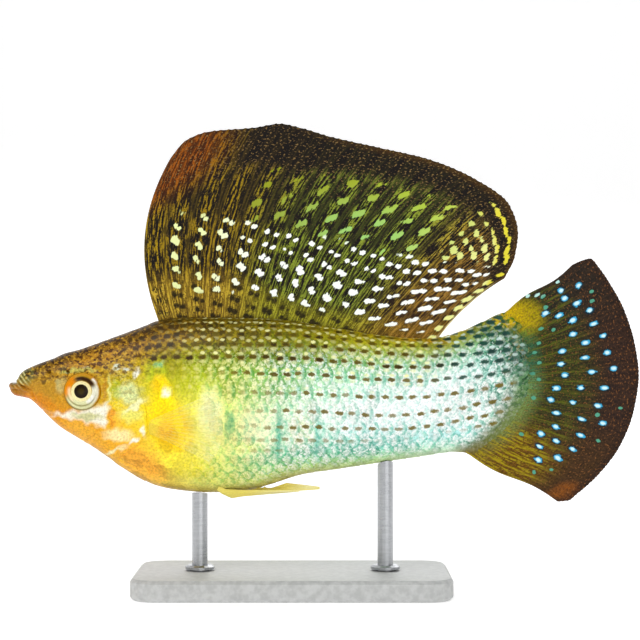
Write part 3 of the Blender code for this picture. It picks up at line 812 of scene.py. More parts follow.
@dataclass(frozen=True)
class FinFinish:
    """Membrane, rays, streaks, flecks and spots of a fin."""

    name: str
    fleck: Tint = (132, 104, 60)
    grit: float = 1.0
    roughness: float = 0.5
    clear: float = 0.0

    def material(self) -> bpy.types.Material:
        """Builds the material.

        Returns:
            A finish that reads the paint, ray tone, spot tint and marks.
        """
        sheet = NodeSheet(self.name)
        place = sheet.painted("flat").outputs["Vector"]
        marks = sheet.painted("marks")
        ray, spot, fleck = sheet.parts(marks.outputs["Color"])
        streak = marks.outputs["Alpha"]
        ray_tone = sheet.painted("ray_tone").outputs["Color"]
        tint = sheet.painted("tint").outputs["Color"]
        long_grain = sheet.noise(sheet.stretch(place, 2.9, 0.32), 1.0, 3.0)
        grain = sheet.noise(place, 2.6, 4.0)
        blotch = sheet.noise(sheet.stretch(place, 1.0, 0.7, 53.0), 1.2, 3.0)
        colour = sheet.painted("paint").outputs["Color"]
        shade = sheet.ease(grain, 0.25, 0.75, 0.5, 1.5)
        colour = sheet.mix(self.grit, colour, shade, "MULTIPLY")
        line = sheet.product(ray, sheet.ease(long_grain, 0.36, 0.58, 0.25, 1.0))
        colour = sheet.mix(line, colour, ray_tone)
        threads = sheet.product(sheet.ease(long_grain, 0.49, 0.6), sheet.ease(grain, 0.3, 0.52), streak)
        colour = sheet.mix(threads, colour, ray_tone)
        dust = sheet.noise(sheet.stretch(place, 1.0, 1.0, 91.0), 2.7, 1.0)
        colour = sheet.mix(sheet.product(sheet.ease(dust, 0.6, 0.78), fleck), colour, rgba(self.fleck))
        fine = sheet.product(sheet.sum("SUBTRACT", long_grain, 0.5), 0.5)
        coarse = sheet.product(sheet.sum("SUBTRACT", blotch, 0.5), 0.8)
        mask = sheet.ease(sheet.sum("ADD", spot, sheet.sum("ADD", fine, coarse)), 0.42, 0.55)
        colour = sheet.mix(mask, colour, tint)
        rough = sheet.ease(grain, 0.2, 0.8, self.roughness - 0.08, self.roughness + 0.12)
        sheet.set(Base_Color=colour, Roughness=rough)
        sheet.set(Specular_IOR_Level=0.12, Normal=sheet.bump(long_grain, 0.4, 0.1))
        if self.clear > 0.0:
            sheet.set(Alpha=sheet.ease(ray, 0.0, 1.0, 1.0 - self.clear, 1.12 - self.clear))
        return sheet.material


@dataclass(frozen=True)
class EyeFinish:
    """Wet, bright finish of the eye over its painted rings."""

    name: str = "molly_eye"

    def material(self) -> bpy.types.Material:
        """Builds the material.

        Returns:
            A clear-coated finish with fine radial grain.
        """
        sheet = NodeSheet(self.name)
        place = sheet.painted("flat").outputs["Vector"]
        grain = sheet.noise(sheet.stretch(place, 7.0, 1.4), 1.0, 3.0)
        shading = sheet.node("CombineXYZ", {i: sheet.ease(grain, 0.3, 0.7, 0.86, 1.08) for i in range(3)})
        colour = sheet.mix(1.0, sheet.painted("paint").outputs["Color"], shading.outputs[0], "MULTIPLY")
        sheet.set(Base_Color=colour, Roughness=sheet.ease(grain, 0.2, 0.8, 0.14, 0.24))
        sheet.set(Coat_Weight=0.1, Coat_Roughness=0.02, Specular_IOR_Level=0.08)
        return sheet.material


@dataclass(frozen=True)
class StandFinish:
    """Moulded base or brushed rod of the stand."""

    name: str
    colour: Tint
    worn: Tint
    roughness: float
    metallic: float
    stretch: tuple[float, float, float]

    def material(self) -> bpy.types.Material:
        """Builds the material.

        Returns:
            A finish with a fine grain, drawn out where the metal is brushed.
        """
        sheet = NodeSheet(self.name)
        place = sheet.node("TexCoord", {}).outputs["Object"]
        place = sheet.node("Mapping", {0: place, 3: self.stretch}).outputs[0]
        feeds = {"Vector": place, "Scale": 1.0, "Detail": 5.0}
        grain = sheet.node("TexNoise", feeds).outputs[0]
        colour = sheet.mix(sheet.ease(grain, 0.3, 0.7), rgba(self.colour), rgba(self.worn))
        sheet.set(Base_Color=colour, Metallic=self.metallic, Normal=sheet.bump(grain, 0.25, 0.05))
        sheet.set(Roughness=sheet.ease(grain, 0.2, 0.8, self.roughness - 0.06, self.roughness + 0.1))
        return sheet.material


@dataclass(frozen=True)
class Wash:
    """A soft patch of colour on the flank, as seen from the side."""

    x: float
    z: float
    reach_x: float
    reach_z: float
    colour: Tint
    strength: float = 1.0
    lean: float = 0.0

    def share(self, x: Array, z: Array) -> Array:
        """Gives how much of the patch shows at each point.

        Args:
            x: places along the fish.
            z: heights.

        Returns:
            The share at each point.
        """
        along, up = x - self.x, z - self.z
        turn = math.radians(self.lean)
        first = (along * math.cos(turn) + up * math.sin(turn)) / self.reach_x
        second = (up * math.cos(turn) - along * math.sin(turn)) / self.reach_z
        return self.strength * ease(np.hypot(first, second), 1.25, 0.45)


@dataclass(frozen=True)
class BodyPaint:
    """Colours and markings of the body, worked out from place and height."""

    shape: BodyShape
    grades: tuple[tuple[float, tuple[tuple[float, Tint], ...]], ...] = (
        (-57.0, (
            (0.0, (84, 62, 6)), (0.25, (146, 112, 16)), (0.5, (190, 132, 24)),
            (0.75, (190, 108, 0)), (1.0, (180, 96, 0)),
        )),
        (-47.0, (
            (0.0, (78, 52, 6)), (0.14, (158, 108, 12)), (0.3, (188, 138, 24)), (0.42, (188, 150, 36)),
            (0.6, (206, 148, 20)), (0.8, (224, 144, 14)), (0.95, (214, 138, 4)), (1.0, (156, 110, 10)),
        )),
        (-36.0, (
            (0.0, (80, 56, 6)), (0.14, (164, 116, 12)), (0.28, (186, 156, 16)), (0.42, (216, 200, 26)),
            (0.6, (246, 206, 36)), (0.82, (244, 180, 34)), (0.95, (238, 182, 40)), (1.0, (186, 136, 30)),
        )),
        (-24.0, (
            (0.0, (104, 78, 8)), (0.12, (148, 118, 8)), (0.24, (150, 160, 14)), (0.38, (204, 208, 30)),
            (0.5, (246, 238, 72)), (0.66, (252, 240, 88)), (0.82, (252, 238, 72)),
            (0.94, (228, 222, 104)), (1.0, (176, 148, 58)),
        )),
        (-8.0, (
            (0.0, (128, 108, 6)), (0.1, (138, 134, 8)), (0.2, (132, 152, 30)), (0.3, (128, 184, 88)),
            (0.44, (168, 214, 140)), (0.56, (228, 246, 206)), (0.74, (216, 244, 208)),
            (0.84, (146, 216, 170)), (0.93, (206, 224, 126)), (1.0, (176, 164, 84)),
        )),
        # At 8 and 24 the pure white across the mid flank is partly the fish's silver and partly a painted
        # highlight.
        (8.0, (
            (0.0, (176, 150, 8)), (0.1, (170, 170, 24)), (0.2, (172, 202, 104)), (0.3, (164, 214, 168)),
            (0.42, (224, 248, 232)), (0.6, (255, 255, 255)), (0.76, (214, 244, 240)),
            (0.88, (126, 210, 186)), (0.96, (190, 224, 148)), (1.0, (178, 196, 120)),
        )),
        (24.0, (
            (0.0, (176, 156, 14)), (0.1, (168, 184, 70)), (0.2, (186, 228, 180)), (0.34, (250, 255, 252)),
            (0.7, (255, 255, 255)), (0.84, (200, 242, 242)), (0.95, (194, 226, 200)), (1.0, (170, 196, 160)),
        )),
        (33.0, (
            (0.0, (140, 136, 20)), (0.14, (110, 164, 120)), (0.3, (160, 222, 210)), (0.5, (240, 252, 244)),
            (0.72, (232, 244, 234)), (0.86, (168, 210, 214)), (1.0, (150, 150, 80)),
        )),
    )
    stem_end: tuple[tuple[float, Tint], ...] = (
        (0.0, (150, 136, 4)), (0.16, (104, 120, 14)), (0.32, (56, 112, 66)), (0.5, (78, 126, 60)),
        (0.68, (100, 122, 40)), (0.85, (104, 112, 26)), (1.0, (120, 96, 10)),
    )
    washes: tuple[Wash, ...] = (
        Wash(-56.4, 41.2, 2.2, 1.9, (108, 106, 44), 0.85, 30.0),
        Wash(-58.4, 38.6, 2.6, 1.2, (160, 104, 10), 0.95),
        Wash(-52.8, 38.7, 3.6, 2.6, (180, 132, 34), 0.8),
        Wash(-49.7, 39.4, 1.1, 1.9, (196, 190, 128), 0.7),
        Wash(-53.7, 35.6, 3.4, 2.2, (206, 126, 0), 0.95, -40.0),
        Wash(-50.4, 32.6, 4.2, 1.7, (214, 142, 8), 0.9, -38.0),
        Wash(-45.4, 30.6, 5.4, 2.2, (230, 166, 44), 0.9, -33.0),
        Wash(-46.4, 28.7, 7.0, 1.0, (216, 148, 6), 0.85, -36.0),
        Wash(-46.3, 42.3, 3.8, 0.6, (188, 196, 96), 0.85, 3.0),
        Wash(-48.3, 42.1, 0.5, 0.4, (236, 240, 190), 0.8),
        Wash(-45.2, 42.9, 0.7, 0.3, (236, 240, 196), 0.75, 6.0),
        Wash(-52.4, 40.5, 2.5, 0.32, (84, 58, 12), 0.75, 17.0),
        Wash(-43.0, 44.6, 5.0, 1.5, (192, 136, 26), 0.6, 18.0),
        Wash(-39.8, 33.6, 0.55, 2.8, (226, 136, 26), 0.8, 6.0),
        Wash(-41.3, 38.8, 0.6, 3.0, (190, 130, 10), 0.8),
        Wash(-45.4, 38.3, 4.6, 4.4, (196, 134, 16), 0.6),
        Wash(-40.2, 38.3, 0.45, 3.4, (240, 240, 150), 0.7),
        Wash(-38.9, 39.0, 0.9, 2.4, (168, 186, 40), 0.7),
        Wash(-36.5, 37.9, 2.6, 2.3, (226, 234, 168), 0.85),
        Wash(-38.6, 36.0, 1.2, 1.0, (252, 218, 40), 0.6),
        Wash(-39.1, 42.8, 0.9, 0.5, (222, 238, 224), 0.8),
        Wash(-37.4, 42.7, 0.6, 0.6, (222, 240, 240), 0.8),
        Wash(-35.1, 41.8, 0.8, 0.8, (252, 252, 236), 0.9),
        Wash(-36.4, 33.9, 3.0, 1.3, (234, 230, 112), 0.8),
        Wash(-35.4, 35.7, 2.9, 0.5, (255, 252, 196), 0.85, 30.0),
        Wash(-38.7, 32.4, 1.0, 2.4, (250, 190, 52), 0.7),
        Wash(-38.6, 30.2, 3.2, 1.3, (255, 234, 172), 0.8),
        # Painted highlights: two white marks on the gill cover near its raised rear edge.
        Wash(-33.9, 31.1, 0.55, 1.3, (255, 255, 236), 0.9, 10.0),
        Wash(-35.7, 29.1, 1.0, 0.6, (255, 255, 240), 0.9, 45.0),
        Wash(-39.0, 27.4, 2.6, 0.45, (250, 244, 190), 0.85, 22.0),
        Wash(-34.1, 24.9, 5.6, 2.8, (248, 172, 54), 0.85, -32.0),
        Wash(-31.4, 42.0, 2.8, 3.0, (172, 188, 34), 0.7),
        Wash(-31.0, 43.4, 0.8, 0.7, (120, 206, 156), 0.8),
        Wash(-30.4, 34.0, 3.6, 6.4, (255, 224, 0), 1.0),
        Wash(-30.8, 39.8, 1.8, 1.8, (255, 208, 0), 0.9),
        Wash(-28.2, 30.8, 3.8, 4.8, (255, 208, 0), 1.0),
        Wash(-29.8, 31.2, 1.6, 2.4, (255, 182, 0), 0.85),
        Wash(-29.4, 38.1, 1.0, 0.8, (255, 255, 232), 0.95),
        Wash(-21.2, 34.6, 2.6, 5.0, (252, 252, 190), 0.85),
        Wash(-26.0, 24.4, 5.0, 2.4, (246, 228, 60), 0.75, -14.0),
        Wash(-12.8, 31.7, 3.0, 3.6, (255, 252, 196), 0.95),
        Wash(-4.5, 31.0, 2.7, 3.8, (255, 254, 214), 0.9),
        Wash(-15.0, 28.0, 4.4, 1.2, (244, 240, 120), 0.6),
        Wash(18.0, 48.1, 6.5, 0.6, (196, 152, 16), 0.95, -3.0),
        Wash(34.4, 45.4, 4.2, 4.6, (40, 120, 92), 0.6, 20.0),
        Wash(37.0, 45.0, 2.4, 4.4, (30, 92, 66), 0.6),
        Wash(35.0, 52.6, 3.4, 2.6, (196, 164, 0), 0.95, 20.0),
    )
    bars: tuple[Wash, ...] = (
        Wash(-17.6, 32.4, 0.95, 2.8, (110, 178, 116), 0.95, -8.0),
        Wash(-8.5, 30.2, 1.0, 5.0, (80, 172, 140), 1.0, -4.0),
        Wash(-1.2, 29.8, 0.85, 4.6, (100, 190, 168), 0.9, -4.0),
    )
    waver: float = 0.34
    waver_length: float = 3.2
    snout_cream: Tint = (232, 222, 150)
    snout_line_gap: float = 0.7
    snout_middle: Pair = (-57.6, 41.0)
    cheek_plate: Points = ((-51.0, 33.9), (-40.3, 36.1), (-41.2, 31.8))
    cheek_soft: float = 1.3
    cheek_white: Tint = (246, 244, 226)
    cheek_inner: Tint = (196, 200, 150)
    cheek_middle: Pair = (-44.6, 33.7)
    shoulder: Pair = (-29.5, 31.5)
    opercle: Pair = (-37.4, 38.6)

    def plate(self, x: Array, z: Array) -> Array:
        """Gives the silver plate under the eye, 1 inside and 0 outside.

        Args:
            x: places along the fish.
            z: heights.

        Returns:
            The share of silver.
        """
        inside = np.full(np.shape(x), np.inf)
        corners = self.cheek_plate
        for (ax, az), (bx, bz) in zip(corners, corners[1:] + corners[:1]):
            length = math.hypot(bx - ax, bz - az)
            inside = np.minimum(inside, -((bx - ax) * (z - az) - (bz - az) * (x - ax)) / length)
        return ease(inside, -0.5 * self.cheek_soft, 0.5 * self.cheek_soft)

    def colour(self, x: Array, z: Array) -> Array:
        """Gives the pigment.

        Args:
            x: places along the fish.
            z: heights.

        Returns:
            Linear colours.
        """
        depth = self.shape.depth(x, z)
        columns = []
        for stops in [grade[1] for grade in self.grades] + [self.stem_end]:
            places = [stop[0] for stop in stops]
            tones = np.array([tone(stop[1]) for stop in stops])
            columns.append(joined(*(np.interp(depth, places, tones[:, i]) for i in range(3))))
        stations = [grade[0] for grade in self.grades]
        row = np.interp(x, stations, np.arange(len(stations)))
        low = np.minimum(row.astype(int), len(stations) - 2)
        colour = np.zeros((*np.shape(x), 3))
        for i in range(len(stations) - 1):
            pick = low == i
            colour[pick] = blend(columns[i], columns[i + 1], np.clip(row - i, 0.0, 1.0))[pick]
        colour = blend(colour, columns[-1], ease(x - self.shape.tail(z), -5.5, 0.5) * 0.95)
        near_x, near_z = (
            place + self.waver * ripple(x, z, self.waver_length, SEED + i) for i, place in enumerate((x, z))
        )
        for wash in self.washes + self.bars:
            colour = layered(colour, (wash.colour, wash.share(near_x, near_z)))
        lines = np.sin(2.0 * math.pi * (0.75 * x + 0.66 * z) / self.snout_line_gap)
        snout = np.clip(1.6 * bell(oval(x, z, self.snout_middle, (1.5, 1.5)), 1.0), 0.0, 1.0)
        colour = layered(colour, (self.snout_cream, snout * ease(lines, 0.1, 0.8) * 0.8))
        inner = ease(oval(near_x, near_z, self.cheek_middle, (3.4, 1.0)), 1.2, 0.5)
        silver = layered(tone(self.cheek_white), (self.cheek_inner, inner))
        return blend(colour, silver, self.plate(near_x, near_z) * 0.92)

    def traits(self, x: Array, z: Array) -> Array:
        """Gives the strengths of dash, glitter (painted glints), freckles and pearls.

        Args:
            x: places along the fish.
            z: heights.

        Returns:
            Four values for each point.
        """
        depth = self.shape.depth(x, z)
        past_tail = x - self.shape.tail(z)
        upper = ease(depth, 0.46, 0.3)
        head = ease(x, -30.0, -38.0)
        middle = (1.0 - upper) * ease(x, -24.0, -4.0) * ease(depth, 0.86, 0.74)
        dash = upper * ease(x, -42.0, -32.0) * (1.0 - 0.2 * ease(depth, 0.28, 0.4)) + 0.7 * middle
        dash = dash * ease(past_tail, 0.0, -2.0)
        dash = dash * (1.0 - 0.85 * ease(depth, 0.26, 0.31) * ease(x, -13.0, -22.0))
        yellow = bell(oval(x, z, self.shoulder, (6.5, 8.0)), 1.0)
        # Glitter: where white cells are painted in as glints of the silvery flank, a painted reflection.
        glitter = ease(depth + 0.06 * ease(x, -5.0, 12.0), 0.12, 0.3) * ease(depth, 1.0, 0.9)
        glitter = glitter * ease(x, -30.0, -16.0) * np.clip(1.0 - 1.2 * yellow, 0.0, 1.0)
        for wash in self.bars:
            glitter = glitter * (1.0 - 0.75 * wash.share(x, z))
        cover = bell(oval(x, z, self.opercle, (3.4, 4.4)), 1.0)
        glitter = np.maximum(glitter * (1.0 - 0.9 * ease(past_tail, -4.5, 0.5)), 0.4 * cover)
        trunk = (0.8 - 0.5 * ease(x, -20.0, 5.0)) * (1.0 - head)
        freckle = head * ease(depth, 0.4, 0.24) + trunk * ease(depth, 0.34, 0.16)
        freckle = freckle + 0.85 * ease(x, 26.0, 32.0) * ease(depth, 0.8, 0.5)
        freckle = freckle + 0.3 * bell(oval(x, z, (-35.0, 24.6), (7.0, 3.6)), 1.0)
        freckle = freckle + 0.5 * bell(oval(x, z, (-36.5, 38.0), (2.4, 2.2)), 1.0)
        pearl = ease(depth, 0.44, 0.3) * (0.35 + 0.5 * head) + 0.3 * head
        lip_gap = ease(x, -58.4, -56.8)
        open_hide = (1.0 - self.plate(x, z)) * lip_gap
        freckle = np.clip(freckle, 0.0, 1.0) * open_hide
        return joined(dash, glitter * open_hide, freckle, np.clip(pearl, 0.0, 1.0) * lip_gap)

    def tips(self, x: Array, z: Array) -> Array:
        """Gives the strength of the pale spot at a scale's free edge."""
        depth = self.shape.depth(x, z)
        return ease(depth, 0.5, 0.34) * ease(x, -36.0, -18.0) * (1.0 - 0.5 * ease(x, 20.0, 30.0))


@dataclass(frozen=True)
class Fold:
    """A straight fold of the skin that fades at both ends, sunk where its rise is below 0."""

    start: Pair
    end: Pair
    rise: float
    width: float

    def height(self, x: Array, z: Array) -> Array:
        """Gives the fold's height.

        Args:
            x: places along the fish.
            z: heights.

        Returns:
            The height at each point.
        """
        run_x, run_z = self.end[0] - self.start[0], self.end[1] - self.start[1]
        length = math.hypot(run_x, run_z)
        far_x, far_z = x - self.start[0], z - self.start[1]
        along = (far_x * run_x + far_z * run_z) / length
        aside = (far_x * run_z - far_z * run_x) / length
        past = np.maximum(np.maximum(-along, along - length), 0.0)
        return self.rise * bell(np.hypot(aside, past), self.width)


@dataclass(frozen=True)
class HeadRelief:
    """Relief of the head: gill cover, orbits, nostrils, mouth and folds."""

    shape: BodyShape
    cover_rise: float = 0.3
    scale_depth: float = 0.3
    eye_x: float = -45.4
    eye_z: float = 38.3
    eye_radius: float = 3.6
    nostrils: tuple[tuple[float, float, float], ...] = ((-48.3, 42.0, 0.42), (-51.8, 41.9, 0.32))
    preopercle: SmoothCurve = SmoothCurve((
        (28.4, -46.4), (29.6, -44.2), (32.0, -41.6), (36.0, -40.5), (42.0, -40.6),
    ))
    folds: tuple[Fold, ...] = (
        Fold((-55.5, 38.6), (-54.8, 36.9), -0.22, 0.22),
        Fold((-54.6, 39.9), (-50.8, 41.2), -0.14, 0.26),
        Fold((-53.6, 34.8), (-47.6, 32.2), -0.12, 0.25),
        Fold((-52.6, 37.6), (-49.8, 36.4), 0.1, 0.9),
    )

    def scaled(self, x: Array, z: Array) -> Array:
        """Gives where scales cover the skin, 0 to 1.

        Args:
            x: places along the fish.
            z: heights.

        Returns:
            The share at each point.
        """
        behind = ease((x - self.shape.gill(z)) / (1.0 + 5.0 * ease(z, 28.5, 25.0)), 0.2, 1.2)
        nape = ease(z - (43.6 + 0.1 * (x + 44.0)), 0.0, 1.6) * ease(x, -50.0, -46.0)
        return np.maximum(behind, nape) * ease(self.shape.tail(z) - x, -0.6, 0.6)

    def lift(self, x: Array, z: Array) -> Array:
        """Gives the height of the relief.

        Args:
            x: places along the fish.
            z: heights.

        Returns:
            Height over the plain skin, in millimetres.
        """
        lift = -self.scale_depth * self.scaled(x, z)
        ahead = self.shape.gill(z) - x
        cover = ahead >= -0.02
        gape = ease(z, 24.4, 29.0) * ease(z, 44.0, 41.0)
        lift += gape * self.cover_rise * np.where(cover, ease(ahead, 9.0, 1.0), 0.0)
        lift += gape * 0.07 * bell(ahead - 0.45, 0.45) * cover
        lift -= gape * 0.22 * np.where(cover, 0.0, bell(ahead, 0.9))
        crease = x - self.preopercle(z)
        span = ease(z, 28.0, 29.6) * ease(z, 42.4, 40.4)
        lift += span * (0.12 * bell(crease - 0.8, 0.7) - 0.2 * bell(crease, 0.3))
        for offset in (1.6, 3.1):
            lift -= 0.05 * bell(crease - offset, 0.3) * ease(z, 37.0, 34.0) * ease(z, 25.0, 28.0)
        cheek = ease(x, -51.0, -48.0) * ease(x, -40.0, -42.0)
        lift += 0.05 * bell(z - 33.4 - 0.1 * (x + 45.0), 1.6) * cheek
        ring = np.hypot(x - self.eye_x, z - self.eye_z) - self.eye_radius
        lift += 0.16 * bell(ring - 0.38, 0.3) - 0.06 * bell(ring - 1.3, 0.4) - 1.3 * ease(ring, 0.02, -0.5)
        for nostril_x, nostril_z, radius in self.nostrils:
            ring = np.hypot(x - nostril_x, (z - nostril_z) * 1.15)
            lift += 0.13 * bell(ring - radius - 0.12, 0.16) - 0.5 * ease(ring, radius, radius * 0.35)
        gap = z - self.shape.mouth(x)
        lips = bell(gap - 0.5, 0.3) + bell(gap + 0.5, 0.3)
        lift += ease(x, -55.2, -56.2) * (0.14 * lips - 0.35 * bell(gap, 0.16))
        for fold in self.folds:
            lift += fold.height(x, z)
        return lift * ease(x, self.shape.snout_x + 0.05, self.shape.snout_x + 0.8)


@dataclass(frozen=True)
class Skin:
    """One skin over head, jaw, gill covers, trunk and tail stem."""

    shape: BodyShape
    paint: BodyPaint
    relief: HeadRelief
    around: int = 280
    head_steps: int = 150
    gill_shares: tuple[float, ...] = (0.09, 0.22, 0.38, 0.58, 0.8, 1.0)
    gill_reach: float = 2.0
    trunk_steps: int = 84
    stem_steps: int = 26
    fin_reach: float = 2.8
    fin_steps: int = 7
    fin_half: float = 0.36
    back_span: Pair = (37.0, 58.0)
    belly_span: Pair = (16.0, 45.0)
    lip_root: float = -56.2
    lip_half: float = 3.2
    lips: Points = ((2.0, 0.5), (3.3, -0.48))
    lip_radius: float = 0.46
    lip_steps: int = 60
    lip_around: int = 16

    def build(self) -> bpy.types.Object:
        """Builds the skin.

        Returns:
            The piece.
        """
        points = self.loft()
        rings, around = points.shape[:2]
        normals = grid_normals(points, wrap=True)
        x, z = points[..., 0], points[..., 2]
        points = points + normals * self.relief.lift(x, z)[..., None]
        along = np.linspace(0.01, 0.97, rings)[:, None] * np.ones(around + 1)
        turn = np.linspace(0.0, 1.0, around + 1) * np.ones((rings, 1))
        draft = MeshDraft()
        maps = joined(along, turn)
        first = draft.add_grid(points, maps, self.dress(x, z, points[..., 1]), wrap=True)
        self.cap(draft, first, around, (0.0, 0.008), False)
        self.cap(draft, first + (rings - 1) * around, around, (0.98, 0.995), True)
        self.add_lips(draft)
        piece = draft.piece("molly_skin", HideFinish("molly_hide", Cover.SKIN).material())
        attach(piece, "root")
        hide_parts("head", "lower_jaw", "gill_cover_left", "gill_cover_right", "torso", "tail")
        return piece

    def loft(self) -> Array:
        """Gives the rings of the plain skin from snout to tail fin.

        Returns:
            The points of every ring.
        """
        gill, tail = self.shape.gill, self.shape.tail
        ends = (
            lambda z: np.full_like(z, self.shape.snout_x), gill, lambda z: gill(z) + self.gill_reach,
            lambda z: np.full_like(z, self.shape.stem_x), tail, lambda z: tail(z) + self.fin_reach,
        )
        head, trunk, stem, fin = (
            np.linspace(0.0, 1.0, steps + 1)[1:]
            for steps in (self.head_steps, self.trunk_steps, self.stem_steps, self.fin_steps)
        )
        shares = (np.concatenate([[0.0015], head ** 1.12]), np.array(self.gill_shares), trunk, stem, fin)
        rings = [self.rings(*stretch) for stretch in zip(ends, ends[1:], shares)]
        last = rings[-1]
        pinch = np.sign(last[..., 1]) * self.fin_half - last[..., 1]
        last[..., 1] += pinch * fin[:, None] ** 0.8
        return np.concatenate(rings)

    def rings(self, first: Curve, second: Curve, shares: Array) -> Array:
        """Gives the body's rings between two section curves.

        Args:
            first: place by height of the first curve.
            second: place by height of the second.
            shares: how far between them each ring lies.

        Returns:
            Rings of points.
        """
        share = shares[:, None]

        def station(z: Array) -> Array:
            """Gives the rings' places at their heights."""
            return first(z) + (second(z) - first(z)) * share

        spans = ((self.shape.back, self.back_span), (self.shape.belly, self.belly_span))
        top, bottom = (
            search(lambda z: z < outline(station(z)), np.full_like(share, low), np.full_like(share, high))
            for outline, (low, high) in spans
        )
        turn = 2.0 * math.pi * np.arange(self.around) / self.around
        z = 0.5 * (top + bottom) + 0.5 * (top - bottom) * np.cos(turn)
        x = station(z)
        y = self.shape.width(x, z) * np.sign(np.sin(turn) + 1e-12)
        y[:, 0] = y[:, self.around // 2] = 0.0
        return joined(x, y, z)

    def dress(self, x: Array, z: Array, y: Array) -> Values:
        """Gives what is painted on points of the skin.

        Args:
            x: places along the fish.
            z: heights.
            y: distances from the middle plane.

        Returns:
            Painted values by name.
        """
        girth = np.where(y < 0.0, SIDE_OFFSET, 0.0) + z * 1.15
        flat = joined(x, girth, np.zeros_like(x))
        return {"paint": four(self.paint.colour(x, z)), "traits": self.paint.traits(x, z), "flat": flat}

    @staticmethod
    def cap(draft: MeshDraft, first: int, around: int, band: Pair, flip: bool) -> None:
        """Closes an end ring across the middle plane.

        Args:
            draft: what the skin is gathered in.
            first: number of the ring's first point.
            around: points in the ring.
            band: places of its two halves across the map.
            flip: whether the faces look the other way.
        """
        half = around // 2
        right = first + np.arange(half + 1)
        left = first + (around - np.arange(half + 1)) % around
        turn = np.linspace(0.05, 0.95, half + 1)
        corners, places = strip(right, left, turn, band, flip)
        draft.add_faces(corners[1:-1], places[1:-1])
        for end in (0, -1):
            keep = [i for i in range(4) if corners[end][i] not in corners[end][:i]]
            draft.add_faces(corners[end][keep][None], places[end][keep][None])

    def add_lips(self, draft: MeshDraft) -> None:
        """Adds the two lips, sunk in the skin round the front of the mouth.

        Args:
            draft: what the skin is gathered in.
        """
        turn = np.radians(np.linspace(-90.0, 90.0, self.lip_steps + 1))
        forward = np.maximum(np.cos(turn), 0.0)
        circle = 2.0 * math.pi * np.arange(self.lip_around) / self.lip_around
        up = np.array([0.0, 0.0, 1.0])
        for index, (reach, lift) in enumerate(self.lips):
            x = self.lip_root - reach * forward ** 0.55
            line = joined(x, self.lip_half * np.sin(turn), self.shape.mouth(x) + lift)
            side = unit(np.cross(unit(np.gradient(line, axis=0)), up))
            swell = (0.35 + 0.65 * forward ** 0.4) * (1.0 + 0.05 * np.cos(np.degrees(turn) * 0.7))
            radius = ((self.lip_radius + 0.12 * index) * swell)[:, None, None]
            ring = side[:, None] * np.cos(circle)[:, None] + up * np.sin(circle)[:, None]
            points = line[:, None] + radius * ring
            band = 0.972 + 0.003 * index
            along = np.linspace(0.02, 0.98, self.lip_steps + 1)[:, None] * np.ones(self.lip_around + 1)
            around = np.linspace(band, band + 0.002, self.lip_around + 1) * np.ones((self.lip_steps + 1, 1))
            values = self.dress(points[..., 0], points[..., 2], points[..., 1])
            draft.add_grid(points, joined(around, along), values, wrap=True)


